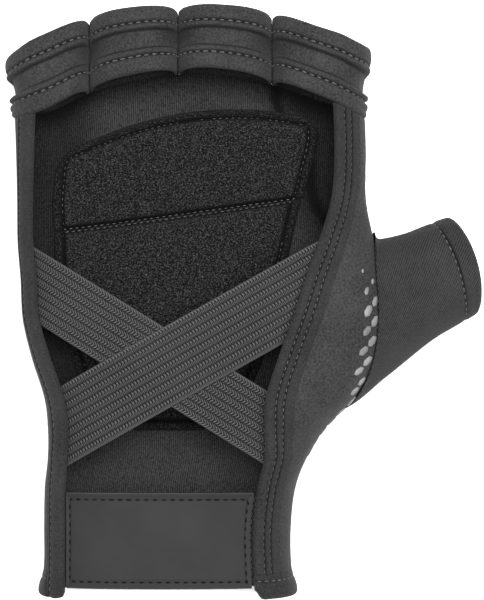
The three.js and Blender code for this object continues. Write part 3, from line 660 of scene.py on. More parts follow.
def surface_row(surface, u, v, lift, facing=None):
    """A line on a surface(u, v) of shares, lifted off it by millimetres, with its normals. They face away
    from the middle of the hand, or the way that facing(points) gives."""
    u, v = np.broadcast_arrays(np.asarray(u, float), np.asarray(v, float))
    reach = NORMAL_SHARE
    points = surface(u, v)
    one_way = surface(np.minimum(u + reach, 1), v) - surface(np.maximum(u - reach, 0), v)
    other_way = surface(u, np.minimum(v + reach, 1)) - surface(u, np.maximum(v - reach, 0))
    normals = np.cross(one_way, other_way)
    normals /= np.linalg.norm(normals, axis=-1, keepdims=True) + 1e-9
    if facing is None:
        x, y, z = form_section(points[..., 1]).x, points[..., 1], 0 * points[..., 2] + HAND_DEPTH / 2
        away = points - np.stack([x, y, z], -1)
    else:
        away = facing(points)
    normals *= np.sign((normals * away).sum(-1, keepdims=True))
    return points + normals * lift, normals


def geometry_group(name, sizes):
    """An empty Geometry Nodes group with a geometry, those sizes (name: default) and a material as inputs."""
    tree = bpy.data.node_groups.new(name, "GeometryNodeTree")
    tree.interface.new_socket("Geometry", in_out="INPUT", socket_type="NodeSocketGeometry")
    for key, default in sizes.items():
        tree.interface.new_socket(key, in_out="INPUT", socket_type="NodeSocketFloat").default_value = default
    tree.interface.new_socket("Material", in_out="INPUT", socket_type="NodeSocketMaterial")
    tree.interface.new_socket("Geometry", in_out="OUTPUT", socket_type="NodeSocketGeometry")
    return tree, tree.nodes.new("NodeGroupInput").outputs, tree.nodes.new("NodeGroupOutput").inputs


def named_vector(tree, name):
    settings = {"data_type": "FLOAT_VECTOR"}
    return add_node(tree, "GeometryNodeInputNamedAttribute", {"Name": name}, **settings).outputs[0]


COPY_SIZES = (0.85, 1.1)  # the smallest and the largest copy


def place_copies(tree, given, out, points, shape, along, size=(1, 1, 1)):
    """Ends a Geometry Nodes group: puts shape on the points, its length along and its top to the attribute
    up, as real mesh of slightly uneven sizes."""
    lengthwise = add_node(tree, "FunctionNodeAlignRotationToVector", {"Vector": along}, axis="X")
    turned = add_node(
        tree, "FunctionNodeAlignRotationToVector",
        {"Rotation": lengthwise.outputs[0], "Vector": named_vector(tree, "up")}, axis="Z", pivot_axis="X",
    )
    uneven = add_node(tree, "FunctionNodeRandomValue", {"Seed": 5}, data_type="FLOAT")
    uneven.inputs[2].default_value, uneven.inputs[3].default_value = COPY_SIZES
    scale = add_node(tree, "ShaderNodeVectorMath", {0: uneven.outputs[1], 1: size}, operation="MULTIPLY")
    copies = add_node(tree, "GeometryNodeInstanceOnPoints", {
        "Points": points, "Instance": shape, "Rotation": turned.outputs[0], "Scale": scale.outputs[0],
    })
    real = add_node(tree, "GeometryNodeRealizeInstances", {0: copies.outputs[0]})
    smooth = add_node(tree, "GeometryNodeSetShadeSmooth", {0: real.outputs[0]})
    covered = add_node(tree, "GeometryNodeSetMaterial", {0: smooth.outputs[0], "Material": given["Material"]})
    tree.links.new(covered.outputs[0], out["Geometry"])


# Stitch rows: a thread dash at every Pitch along each line, Length long and Width wide.
stitch_rows, given, out = geometry_group("stitch_rows", {"Pitch": 0.002, "Length": 0.0013, "Width": 0.0005})
line = add_node(stitch_rows, "GeometryNodeMeshToCurve", {"Mesh": given["Geometry"]})
spaced = add_node(stitch_rows, "GeometryNodeResampleCurve", {
    "Curve": line.outputs[0], "Length": given["Pitch"],
}, mode="LENGTH")
STITCH_FLATNESS = 0.6
dash = add_node(stitch_rows, "GeometryNodeMeshUVSphere", {"Segments": 6, "Rings": 4, "Radius": 0.5})
dash_size = add_node(stitch_rows, "ShaderNodeCombineXYZ", {
    0: given["Length"], 1: given["Width"],
    2: calculate(stitch_rows, "MULTIPLY", given["Width"], STITCH_FLATNESS),
})
thread = add_node(
    stitch_rows, "GeometryNodeTransform", {"Geometry": dash.outputs[0], "Scale": dash_size.outputs[0]}
)
tangent = stitch_rows.nodes.new("GeometryNodeInputTangent").outputs[0]
place_copies(stitch_rows, given, out, spaced.outputs[0], thread.outputs[0], tangent)

LOWEST_THREAD = 0.25  # the middle of a thread under the glove, which keeps it off the floor


def marked_points(name, points, edges, vectors):
    """Points and edges as a mesh with named vectors on its points."""
    mesh = bpy.data.meshes.new(name)
    mesh.from_pydata((points + SHIFT) * MILLIMETRE, edges, [])
    for key, values in vectors.items():
        attribute = mesh.attributes.new(key, "FLOAT_VECTOR", "POINT")
        attribute.data.foreach_set("vector", values.astype(np.float32).ravel())
    return linked(name, mesh)


def evaluated(source):
    """A plain mesh of an object with its modifiers worked out."""
    return bpy.data.meshes.new_from_object(source.evaluated_get(bpy.context.evaluated_depsgraph_get()))


def grown(name, source, tree, values):
    """The plain mesh that a Geometry Nodes group makes from a source, with its inputs set by name."""
    modifier = source.modifiers.new("copies", "NODES")
    modifier.node_group = tree
    for item in tree.interface.items_tree:
        if item.item_type == "SOCKET" and item.in_out == "INPUT" and item.name in values:
            modifier[item.identifier] = values[item.name]
    mesh = evaluated(source)
    mesh.name = name
    bpy.data.objects.remove(source)
    return linked(name, mesh)


def stitches(name, lines, pitch, length, width, thread_material):
    """Rows of stitches as one piece, with sizes in millimetres. Each line is its points and their normals."""
    points = np.concatenate([line[0] for line in lines])
    points[:, 2] = np.maximum(points[:, 2], LOWEST_THREAD)
    edges, first = [], 0
    for line, _ in lines:
        edges += [(first + k, first + k + 1) for k in range(len(line) - 1)]
        first += len(line)
    normals = np.concatenate([line[1] for line in lines])
    source = marked_points(name + "_lines", points, edges, {"up": normals})
    sizes = {"Pitch": pitch, "Length": length, "Width": width}
    values = {key: size * MILLIMETRE for key, size in sizes.items()}
    made = grown(name, source, stitch_rows, {**values, "Material": thread_material})
    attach(made, "root")
    return made


light_thread = fabric("light_thread", 0.02, 0.095, 0.8, 0.1, 0.05, grain_pattern(0.3, 1.0))
dark_thread = fabric("dark_thread", 0.0004, 0.0015, 0.7, 0.0, 0.05, grain_pattern(0.3, 1.0))


def pad_stitch_row(pad):
    """The closed line on a pad where its distance inside the border is nothing, in the sewn groove."""
    turns = np.linspace(0, 2 * math.pi, 400)
    across, along = 0.5 + 0.5 * signed_power(np.cos(turns), 0.5), 0.5 + 0.5 * signed_power(np.sin(turns), 0.5)
    low, high = np.zeros_like(turns), np.ones_like(turns)
    for _ in range(24):
        reach = (low + high) / 2
        _, _, inside, _ = pad_plan(pad, 0.5 + (across - 0.5) * reach, 0.5 + (along - 0.5) * reach)
        low, high = np.where(inside > 0, reach, low), np.where(inside > 0, high, reach)
    across, along = 0.5 + (across - 0.5) * low, 0.5 + (along - 0.5) * low
    return surface_row(pad.surface, across, along, 0.1, lambda points: np.array([0, 0, 1.0]))


pad_lines = [pad_stitch_row(upper_pad), pad_stitch_row(lower_pad)]
stitches("pad_stitches", pad_lines, 1.7, 1.0, 0.4, light_thread)

# Edge tapes
# A folded binding closes each edge of the open back. The thumb side's is wide and has two rows of stitches,
# and the little-finger side's is narrow with one. Each is rolled over its edge and sewn through.
TAPE_THICKNESS = 2.8
LOOP_LENGTH = 18


def tape_pattern(tree, place, cloth_map):
    mask, grain = grained(tree, place, 0.5, 0.7)
    line = lined(tree, cloth_map, 0.7, 90, 0.2)
    return mixed_masks(tree, line, mask, 0.12), grain


edge_tape = fabric("edge_tape", 0.006, 0.0255, 0.9, 0.03, 0.12, tape_pattern)

# Half the tape's thickness on its back face, as a share of TAPE_THICKNESS / 2, across it from the opening's
# edge.
THUMB_TAPE_FACE = {
    "at": [0, 0.03, 0.09, 0.18, 0.28, 0.33, 0.36, 0.39, 0.46, 0.54, 0.595, 0.63, 0.66, 0.72, 0.86, 0.96, 1],
    "rise": [0.1, 0.62, 0.9, 1.0, 0.97, 0.82, 0.5, 0.82, 0.96, 0.93, 0.8, 0.45, 0.68, 0.76, 0.7, 0.65, 0.643],
}
LITTLE_TAPE_FACE = {
    "at": [0, 0.04, 0.12, 0.25, 0.45, 0.6, 0.67, 0.71, 0.76, 0.84, 0.95, 1],
    "rise": [0.1, 0.6, 0.9, 1.0, 1.0, 0.95, 0.84, 0.68, 0.86, 0.88, 0.72, 0.643],
}
TAPE_BACK = {"at": [0, 0.04, 0.15, 0.5, 0.85, 0.96, 1], "rise": [0.1, 0.62, 0.9, 1.0, 0.9, 0.7, 0.643]}
TAPE_END_ROUND = 1.5  # how far the corners of a tape's end at the cuff are rounded back
TAPE_ALONG, TAPE_ACROSS = 260, 64


def tape_surface(place, start, face, side):
    """A tape's outer side (1) or inner side (-1)."""

    def surface(across, along):
        thin = np.sqrt(np.clip(along / 0.008, 0.15, 1)) if start == 0 else 1
        half = TAPE_THICKNESS / 2 * sample(face, "at", "rise", across) * thin
        points = wall_point(along, lambda length: place(across, length), WALL / 2 - side * half, start)
        if start == 0:
            corner = 1 - np.sqrt(np.clip(1 - (2 * across - 1) ** 2, 0, 1))
            points[..., 1] += TAPE_END_ROUND * corner * smooth_step(0.03, 0, along)
        return points

    return surface


tapes = {
    "little": SimpleNamespace(
        place=lambda at, length: at * LITTLE_TAPE_WIDTH, start=0, face=LITTLE_TAPE_FACE,
        width=LITTLE_TAPE_WIDTH, stitches=(0.71,), groove=0.06,
    ),
    "thumb": SimpleNamespace(
        place=lambda at, length: length - at * THUMB_TAPE_WIDTH, start=SHELL_START, face=THUMB_TAPE_FACE,
        width=THUMB_TAPE_WIDTH, stitches=(0.36, 0.63), groove=0.045,
    ),
}
for side, tape in tapes.items():
    tape.surface = tape_surface(tape.place, tape.start, tape.face, 1)
    sides = tape.surface, tape_surface(tape.place, tape.start, TAPE_BACK, -1)
    front, back, across, along = both_sides(*sides, TAPE_ACROSS, TAPE_ALONG)
    tape_map = np.stack([across * tape.width, front[..., 1]], -1)
    # Painted shade in the stitched grooves.
    sewn_shade = 0.95 * groove(across, *tape.stitches, width=tape.groove)
    piece = walled(f"binding_{side}", front, back, tape_map, [edge_tape], painted_shade=sewn_shade)
    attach(piece, "root")
    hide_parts(f"edge_tape_{side}")

tape_lines = [
    surface_row(tape.surface, share, np.linspace(0.004, 0.996, 240), 0.08)
    for tape in tapes.values()
    for share in tape.stitches
]
stitches("binding_stitches", tape_lines, 1.75, 1.25, 0.36, light_thread)

# Cuff hem
# The palm's cloth is rolled under once round the wrist and sewn down, from the little-finger binding round
# the palm to the thumb edge, where it stands out beside the wrist patch as a soft roll.
CUFF_HEM_THICKNESS = 3.2
HEM_STITCH = 0.73
HEM_END_ROUND = 2.2  # how far the roll's end beside the patch is rounded back
# Painted shade over the whole hem, and more in its stitched groove.
HEM_SHADE, HEM_STITCH_SHADE = 0.35, 0.5
HEM_AROUND, HEM_ACROSS = 260, 40
HEM_FACE = {
    "at": [0, 0.03, 0.1, 0.25, 0.45, 0.6, 0.68, 0.73, 0.78, 0.88, 1],
    "rise": [0.1, 0.55, 0.85, 1.0, 0.97, 0.86, 0.72, 0.56, 0.68, 0.66, 0.56],
}


def hem_surface(side, face):
    def surface(around, along):
        half = CUFF_HEM_THICKNESS / 2 * sample(face, "at", "rise", along)
        place = lambda length: mix(LITTLE_TAPE_WIDTH + SEWN_GAP, length, around)
        end = smooth_step(0.975, 1, around)
        inset = WALL / 2 - side * half * (1 - 0.5 * end ** 3)
        points = wall_point(0 * along, place, inset, along * (SHELL_START - SEWN_GAP))
        points[..., 1] += HEM_END_ROUND * end ** 2 * (1 - along) ** 2
        return points

    return surface


sides = hem_surface(1, HEM_FACE), hem_surface(-1, TAPE_BACK)
hem_outside, hem_inside, around, along = both_sides(*sides, HEM_AROUND, HEM_ACROSS)
hem_map = np.stack([around * wall_length(0), along * CUFF_HEM_WIDTH], -1)
# Painted shade on the hem.
sewn_shade = HEM_SHADE + HEM_STITCH_SHADE * groove(along, HEM_STITCH, width=0.04)
cuff = walled("cuff_roll", hem_outside, hem_inside, hem_map, [stretch_cloth], painted_shade=sewn_shade)
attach(cuff, "root")
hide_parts("cuff_hem")
hem_line = surface_row(hem_surface(1, HEM_FACE), np.linspace(0.01, 0.99, 400), HEM_STITCH, 0.08)
stitches("cuff_stitches", [hem_line], 2.0, 1.4, 0.4, light_thread)

# Finger loops
# Four short tubes of the smooth cloth side by side, one for each finger. The rear and the front of each are
# turned over into padded hems, sewn down with a row of stitches that leaves a narrow ridge beside it.
# Neighbours are sewn together along their sides, and the cloth gathers in small rolls at the two outer ends
# of the rear hem.
LOOP_DEPTH = 25
LOOP_SQUARENESS = 3
LOOP_WALL = 1.6
LOOP_HEM_RISE = 0.9
LOOP_GATHER_RISE = 0.65
LOOP_PALM_RECESS = 2.5
# Each pair gives a loop's little-finger side and its thumb side, as in the solids.
FINGER_LOOPS = {
    "little": SimpleNamespace(rear=(-1.015, -0.582), front=(-1.075, -0.586), square=(2.3, 3.6), depth=0.9),
    "ring": SimpleNamespace(rear=(-0.582, -0.073), front=(-0.586, -0.073), square=(2.5, 3.2), depth=0.97),
    "middle": SimpleNamespace(rear=(-0.073, 0.47), front=(-0.073, 0.47), square=(2.7, 2.6), depth=1.0),
    "index": SimpleNamespace(rear=(0.47, 0.998), front=(0.47, 1.045), square=(3.3, 2.3), depth=0.97),
}
HALF_LOOP_FACE = {
    "at": [0, 0.012, 0.035, 0.08, 0.15, 0.215, 0.242, 0.258, 0.28, 0.31, 0.336, 0.352, 0.375, 0.44],
    "rise": [-0.5, 0.3, 0.75, 1.05, 1.15, 1.0, 0.35, 0.35, 0.9, 1.15, 0.95, 0.0, -0.35, -0.6],
}
LOOP_FACE = {
    "at": HALF_LOOP_FACE["at"] + [0.5] + [1 - at for at in reversed(HALF_LOOP_FACE["at"])],
    "rise": HALF_LOOP_FACE["rise"] + [-0.65] + HALF_LOOP_FACE["rise"][::-1],
}
LOOP_GATHERS = {
    "at": [0, 0.03, 0.065, 0.1, 0.13, 0.16, 0.2, 0.235, 0.262, 0.29, 0.32, 0.36, 0.42, 0.6, 0.69, 0.8, 1],
    "gather": [0.2, 0.7, 0.85, 0.75, 0.35, 0.75, 0.95, 0.75, 0.3, 0.6, 0.7, 0.3, 0.05, 0.05, 0.35, 0.3, 0],
}
LOOP_RIM = 0.04  # the share of a loop's length over which its rim rounds off
LOOP_TUCK = 0.1  # how far the outer loops' rear rims run into the palm's sides
LOOP_VALLEY = 3.2  # how far the sewn joint of two loops pulls the cloth down between their hems
LOOP_PALM_SQUARENESS = 9  # of the corners between two loops under the palm, where one cloth runs on
LOOP_RIM_WALL = 0.3
LOOP_HOLD = 0.45  # the share of a loop's length over which it turns from the palm's form to its own
LOOP_ANGLES, LOOP_STEPS = 20001, 721
LOOP_AROUND, LOOP_ALONG = 150, 90
LOOP_STITCH, LOOP_RIDGE = 0.25, 0.36  # of its stitches and of the ridge's far side, from each rim


def loop_surface(finger, is_outer):
    """A loop's outer or inner side. around runs from its thumb side over the back, and at from its rear."""
    loop = FINGER_LOOPS[finger]
    round_angles = np.linspace(0, 2 * math.pi, LOOP_ANGLES)
    back_squareness = np.where(np.cos(round_angles) < 0, loop.square[0], loop.square[1])
    squareness = np.where(np.sin(round_angles) > 0, back_squareness, LOOP_PALM_SQUARENESS)
    x = signed_power(np.cos(round_angles), 2 / squareness)
    z = signed_power(np.sin(round_angles), 2 / squareness)
    lengths = np.concatenate([[0], np.cumsum(np.hypot(np.diff(x), np.diff(z)))])
    even_angles = np.interp(np.linspace(0, lengths[-1], LOOP_STEPS), lengths, round_angles)

    def surface(around, at):
        angle = np.interp(around, np.linspace(0, 1, LOOP_STEPS), even_angles)
        is_left = np.cos(angle) < 0
        left, right = (mix(loop.rear[side], loop.front[side], at) * HALF_WIDTH for side in (0, 1))
        rise = sample(LOOP_FACE, "at", "rise", at)
        palm_side = smooth_step(0, 0.4, -np.sin(angle))
        deep = (1 - mix(rise, 0.9 + 0.1 * rise, palm_side)) * LOOP_HEM_RISE
        rim = smooth_step(0, LOOP_RIM, np.minimum(at, 1 - at))
        rim = np.maximum(rim, palm_side * (at < 0.5))
        wall = 0 if is_outer else mix(LOOP_RIM_WALL, LOOP_WALL, rim)
        inset = deep + wall
        free = np.where(is_left, finger == "little", finger == "index")
        fold = sample(LOOP_GATHERS, "at", "gather", at) * LOOP_GATHER_RISE * np.cos(angle) ** 2 * free
        fold = fold if is_outer else 0 * fold
        rounding = (1 - rim) * 0.5 * (1 - palm_side)
        side_inset = np.where(free, inset - fold, SEWN_GAP / 2 + wall + rounding)
        section = SimpleNamespace(
            x=(left + right) / 2, z=(loop.depth * LOOP_DEPTH - SETTLE) / 2,
            half_width=(right - left) / 2, half_depth=(loop.depth * LOOP_DEPTH + SETTLE) / 2,
        )
        back = np.where(is_left, loop.square[0], loop.square[1])
        palm = np.where(free, LOOP_SQUARENESS, LOOP_PALM_SQUARENESS)
        squareness = np.where(np.sin(angle) > 0, back, palm)
        x, z = rounded_point(section, angle, inset - 0.4 * fold, squareness, side_inset)
        between = smooth_step(0.3, 0.5, np.minimum(at, 1 - at)) * np.abs(np.cos(angle)) ** 2.5
        z = z - LOOP_VALLEY * between * (1 - free) * np.clip(np.sin(angle) * 3, 0, 1)
        under = np.clip(1 - z / section.z, 0, 1)
        sewn_in = free * smooth_step(0.3, 0.7, np.abs(np.cos(angle)))
        tuck = np.maximum((SEAM_GAP - SEWN_GAP) * under, (SEAM_GAP + LOOP_TUCK) * sewn_in)
        length = sample(KNUCKLE_ARC, "across", "length", x / HALF_WIDTH) * LOOP_LENGTH
        length = length - LOOP_PALM_RECESS * under
        rear = knuckle_rear(x)
        x, z = np.broadcast_arrays(x, np.maximum(z, wall))
        # Below its middle the rear rim follows the palm's rounded edge, which it is sewn to.
        palm_section = form_section(rear)
        centre = (section.x - palm_section.x) / palm_section.half_width
        corner = math.pi / 2 - np.arccos(np.clip(np.abs(centre), 0, 1) ** (SQUARENESS / 2))
        down = np.clip(-np.arcsin(np.clip(np.sin(angle), -1, 0)) / (math.pi / 2), 0, 1)
        turn = down * (math.pi / 2 - corner)
        palm_half = palm_section.half_width - inset
        edge_x = palm_section.x + np.sign(centre) * palm_half * np.cos(turn) ** (2 / SQUARENESS)
        edge_z = palm_section.z - (palm_section.half_depth - inset) * np.sin(turn) ** (2 / SQUARENESS)
        sink = np.clip(1 - np.abs((x - palm_section.x) / palm_section.half_width) ** SQUARENESS, 0, 1)
        palm_z = palm_section.z - palm_section.half_depth * sink ** (1 / SQUARENESS) + wall
        level = np.where(free, np.maximum(edge_z, wall), np.maximum(palm_z, z))
        below = smooth_step(LOOP_HOLD, 0, at) * (np.sin(angle) < 0)
        above = smooth_step(0.1, 0, at) * smooth_step(0.6, 0, np.sin(angle)) * (np.sin(angle) >= 0) * free
        lifted = z + (palm_section.z - section.z) * above
        x = mix(x, np.where(free, edge_x, x), np.maximum(below, above))
        z = np.where(below > 0, mix(z, level, below), lifted)
        reach = front_reach(z)
        return np.stack(np.broadcast_arrays(x, rear - tuck + reach * (1 - at) + length * at, z), -1)

    return surface


def from_loop_middle(finger):
    """The way from the middle line of a loop to the points on it."""
    middle = np.array([sum(FINGER_LOOPS[finger].rear) / 2 * HALF_WIDTH, 0, 12])
    return lambda points: (points - middle) * [1, 0, 1]


def girth(grid):
    """The distance along the rows of a grid of points, from its first row."""
    return np.cumsum(np.linalg.norm(np.diff(grid, axis=0, prepend=grid[:1]), axis=-1), axis=0)


loop_lines = []
for finger in FINGER_LOOPS:
    sides = loop_surface(finger, True), loop_surface(finger, False)
    outer, inner, around, along = both_sides(*sides, LOOP_AROUND + 1, LOOP_ALONG)
    loop_map = np.stack([girth(outer), along * LOOP_LENGTH], -1)
    from_rim = np.minimum(along, 1 - along)[:-1]
    # Painted shade: in the stitched groove, beside the ridge, towards the joints between loops, at the rims.
    loop_shade = groove(from_rim, LOOP_STITCH, width=0.024) + 0.85 * groove(from_rim, LOOP_RIDGE, width=0.02)
    from_middle = np.abs(outer[:-1, :, 0] - outer[:-1].mean(axis=(0, 1))[0])
    beside = from_middle / from_middle.max()
    loop_shade += (0.35 * beside ** 2 + 0.55 * beside ** 8) * smooth_step(0.3, 0.4, from_rim)
    loop_shade += 0.35 * smooth_step(0.012, 0, from_rim)
    cloths = [stretch_cloth, palm_knit]
    loop = walled(f"loop_{finger}", outer[:-1], inner[:-1], loop_map, cloths, wraps=True, painted_shade=loop_shade)
    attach(loop, "root")
    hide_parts(f"finger_loop_{finger}")
    for share in (LOOP_STITCH, 1 - LOOP_STITCH):
        turns = np.linspace(0.02, 0.48, 120)
        loop_lines.append(surface_row(sides[0], turns, share, 0.1, from_loop_middle(finger)))
stitches("loop_stitches", loop_lines, 2.1, 1.5, 0.42, light_thread)

# Thumb sleeve
# A half-length tube of fine diagonal knit, sewn to the side of the palm, with a wide sewn hem at its mouth.
THUMB_WIDTH = 26
THUMB_DEPTH = 22.5
THUMB_WALL = 1.7
THUMB_MOUTH_BOW = 2.2
THUMB_HEIGHT = 0.375
THUMB = {
    "at": [0, 0.2, 0.4, 0.6, 0.8, 1], "x": [0.74, 0.95, 1.08, 1.24, 1.4, 1.57],
    "y": [0.502, 0.514, 0.545, 0.578, 0.605, 0.632], "heading": [-8, -6, 4, 15, 19, 17],
    "width": [1.72, 1.66, 1.42, 1.18, 1.06, 1.0], "depth": [1.12, 1.12, 1.1, 1.05, 1.02, 1.0],
}
# How far the sleeve's face stands out at its hem, in millimetres.
THUMB_FACE = {
    "at": [0, 0.7, 0.8, 0.86, 0.878, 0.89, 0.902, 0.92, 0.96, 0.985, 1],
    "rise": [0, 0, 0.25, 0.35, 0.28, 0.08, 0.3, 0.45, 0.4, 0.2, -0.45],
}
THUMB_STITCH = 0.89
THUMB_FILLET_SHARE = 0.14
THUMB_FILLET = 2.2  # how far the sleeve widens where it is sewn to the palm
THUMB_MOUTH_WALL = 0.75
SLEEVE_AROUND, SLEEVE_ALONG = 150, 110


def thumb_point(turn, at, inset):
    """A point of the sleeve. turn is its angle round it, and at runs from inside the hand to the mouth."""
    held = np.clip(at, 0, 1)
    value = {name: sample(THUMB, "at", name, held) for name in THUMB if name != "at"}
    heading = np.radians(value["heading"])
    beyond = (at - held) * KNUCKLE_WIDTH
    half_width = value["width"] * THUMB_WIDTH / 2 - inset
    half_depth = value["depth"] * THUMB_DEPTH / 2 - inset
    across = half_width * signed_power(np.cos(turn), 2 / SQUARENESS)
    up = half_depth * signed_power(np.sin(turn), 2 / SQUARENESS)
    bow = THUMB_MOUTH_BOW * at ** 3 * (1 - (across / half_width) ** 2) + beyond
    return np.stack([
        value["x"] * HALF_WIDTH - np.sin(heading) * across + np.cos(heading) * bow,
        value["y"] * PALM_LENGTH + np.cos(heading) * across + np.sin(heading) * bow,
        THUMB_HEIGHT * HAND_DEPTH + up,
    ], -1)


def outside_hand(points, clearance):
    """Above 0 where a point lies outside the hand form by more than the clearance."""
    section = form_section(points[..., 1])
    x = np.abs(points[..., 0] - section.x) / (section.half_width + clearance)
    z = np.abs(points[..., 2] - section.z) / (section.half_depth + clearance)
    return (x ** SQUARENESS + z ** SQUARENESS) ** (1 / SQUARENESS) - 1


def sleeve_start(inset):
    """Where the sleeve comes out of the hand form, from its turn."""
    tries = np.linspace(0, 1, 241)
    turns = np.linspace(0, 2 * math.pi, 361)
    trial = thumb_point(turns[:, None], tries[None, :], inset)
    inside = outside_hand(trial, SEAM_GAP) <= 0
    last = inside.shape[1] - 1 - np.argmax(inside[:, ::-1], axis=1)
    starts = tries[np.minimum(last + 1, len(tries) - 1)]
    starts = np.where(inside.any(axis=1), starts, 0)
    smoothed = np.convolve(np.concatenate([starts[-4:-1], starts, starts[1:4]]), np.ones(7) / 7, "valid")
    return lambda turn: np.interp(turn, turns, np.maximum(starts, smoothed))


def sleeve_surface(is_outer):
    inset = 0 if is_outer else THUMB_WALL
    start = sleeve_start(inset)

    def surface(around, along):
        turn = around * 2 * math.pi
        at = mix(start(turn), 1, along)
        if is_outer:
            face = sample(THUMB_FACE, "at", "rise", at)
        else:
            face = smooth_step(0.97, 1, at) * (THUMB_WALL - THUMB_MOUTH_WALL)
        near = np.clip(1 - along / THUMB_FILLET_SHARE, 0, 1)
        fillet = THUMB_FILLET * (1 - np.sqrt(1 - near ** 2)) * np.clip(np.cos(turn), -0.3, 1) ** 2
        points = thumb_point(turn, at, inset - face - fillet)
        points[..., 2] = np.maximum(points[..., 2], 0.05)
        return points

    return surface


def twill_pattern(tree, place, cloth_map):
    mask, grain = grained(tree, place, 0.5, 0.6)
    line = lined(tree, cloth_map, 0.62, 45, 0.2)
    both = mixed_masks(tree, line, mask, 0.45)
    return both, both


twill_knit = fabric("twill_knit", 0.003, 0.0355, 0.9, 0.03, 0.35, twill_pattern)
sleeve_outside = sleeve_surface(True)
sides = sleeve_outside, sleeve_surface(False)
outer, inner, around, along = both_sides(*sides, SLEEVE_AROUND + 1, SLEEVE_ALONG)
around_sleeve = girth(outer)
from_mouth = np.linalg.norm(outer - outer[:, -1:], axis=-1)
sleeve_map = np.stack([around_sleeve - around_sleeve[SLEEVE_AROUND // 4], from_mouth], -1)
hem_at = np.linalg.norm(thumb_point(0, 1, 0) - thumb_point(0, THUMB_STITCH, 0))
# Painted shade in the hem's stitched groove, and where the sleeve meets the palm except at its narrow sides.
sewn_shade = 0.7 * groove(sleeve_map[:-1, :, 1], hem_at, width=0.35)
outline_share = np.abs(np.cos(around[:-1] * 2 * math.pi)) ** 8
sewn_shade += 0.7 * smooth_step(0.02, 0, along[:-1]) * (1 - outline_share)
sleeve = walled("thumb_tube", outer[:-1], inner[:-1], sleeve_map, [twill_knit], wraps=True, painted_shade=sewn_shade)
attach(sleeve, "root")
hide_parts("thumb_sleeve")


def from_thumb(points):
    return points - thumb_point(0, 0.7, THUMB_WIDTH / 2)


shares = np.linspace(0, 1, 240)
starts = sleeve_start(0)(shares * 2 * math.pi)
hem_share = (THUMB_STITCH - starts) / (1 - starts)
hem_row = surface_row(sleeve_outside, shares, hem_share, 0.06, from_thumb)
stitches("thumb_stitches", [hem_row], 1.9, 1.3, 0.36, light_thread)
# The seam to the palm is sewn over the sleeve's back and under it, and hidden at its two narrow sides.
seam_rows = [
    surface_row(sleeve_outside, side + 0.07 + 0.36 * shares, 0.012, 0, from_thumb) for side in (0, 0.5)
]
stitches("thumb_seam", seam_rows, 1.7, 1.2, 0.3, dark_thread)

# The palm's cloth is cut out where the sleeve joins it, so that the thumb passes through.
HOLE_FROM, HOLE_TO, HOLE_STEPS, HOLE_SIDES = -0.12, 0.55, 12, 96
hole_turns = np.linspace(0, 2 * math.pi, HOLE_SIDES, endpoint=False)
hole_shares = np.linspace(HOLE_FROM, HOLE_TO, HOLE_STEPS)
hole_rings = np.array([thumb_point(hole_turns, at, THUMB_WALL) for at in hole_shares])
hole_mesh = bpy.data.meshes.new("thumb_hole")
ring = np.arange(HOLE_SIDES)
hole_faces = []
for first in range(0, (HOLE_STEPS - 1) * HOLE_SIDES, HOLE_SIDES):
    a, b = first + ring, first + (ring + 1) % HOLE_SIDES
    hole_faces += np.stack([a, b, b + HOLE_SIDES, a + HOLE_SIDES], -1).tolist()
hole_faces += [ring[::-1].tolist(), (ring + (HOLE_STEPS - 1) * HOLE_SIDES).tolist()]
hole_mesh.from_pydata((hole_rings.reshape(-1, 3) + SHIFT) * MILLIMETRE, [], hole_faces)
hole = linked("thumb_hole", hole_mesh)
cut = palm.modifiers.new("thumb_hole", "BOOLEAN")
cut.object, cut.operation, cut.solver = hole, "DIFFERENCE", "EXACT"
uncut = palm.data
palm.data = evaluated(palm)
palm.modifiers.clear()
bpy.data.objects.remove(hole)
bpy.data.meshes.remove(uncut)
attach(palm, "root")
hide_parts("palm_shell")

# Grip print
# Low silicone hexagons in a plain honeycomb, printed on the palm's cloth. The field covers the underside
# and comes up round the ball of the thumb, where its last two columns show beside the thumb's seam.
PRINT_PITCH = 5.2
PRINT_SIZE = 4.45
PRINT_THICKNESS = 0.3
PRINT_EDGE = {"along": [30, 42, 50, 60, 75, 90], "height": [6, 12, 16, 22, 23, 23]}
PRINT_FIRST = 3.9  # from the seam to the middle of the first column over it
PRINT_STRETCH = 0.56  # how narrow the cloth's stretch round the thumb makes the columns over the seam
PRINT_LEAN = 0.55
PRINT_ROWS_OVER = 2
PRINT_ROWS_UNDER = 12  # on each side of the palm's middle
PRINT_FROM, PRINT_TO = 20, 114
PRINT_FADE = (73, 86)  # where the hexagons over the seam grow small and end
PRINT_SMALLEST = 0.3
PRINT_SUNK = 0.3  # the share of a hexagon's thickness that its middle lies in the cloth
PRINT_LITTLE_SIDE = -34
PRINT_FLAT, PRINT_SIDE = 0.8, 14  # how high the field under the palm reaches beside the thumb, and before it
PRINT_THUMB_REACH = 25
PRINT_OVER_FROM = 38


def skin_at(s, y):
    """A point of the palm's outside at a distance s along the wall of the section at y."""
    x, z = on_wall(y, s, 0)
    along = (y - SHELL_START) / (float(knuckle_rear(-HALF_WIDTH)) - SEAM_GAP - SHELL_START)
    rise = CUFF_RISE * (1 - z / HAND_DEPTH) * np.clip(1 - along, 0, 1) ** 4
    return shell_skin(np.stack([x, y + rise, np.maximum(z, 0)], -1))


def print_edge(y):
    """The distance along the wall at which the print meets the thumb's seam."""
    height = sample(PRINT_EDGE, "along", "height", y)
    s = np.linspace(wall_length(y) * 0.5, wall_length(y), 400)
    return float(np.interp(height, on_wall(y, s, 0)[1], s))


def palm_middle(y):
    """The distance along the wall at which the palm's underside crosses the hand's own axis."""
    s = np.linspace(wall_length(y) * 0.25, wall_length(y) * 0.75, 400)
    return float(np.interp(0, on_wall(y, s, 0)[0], s))


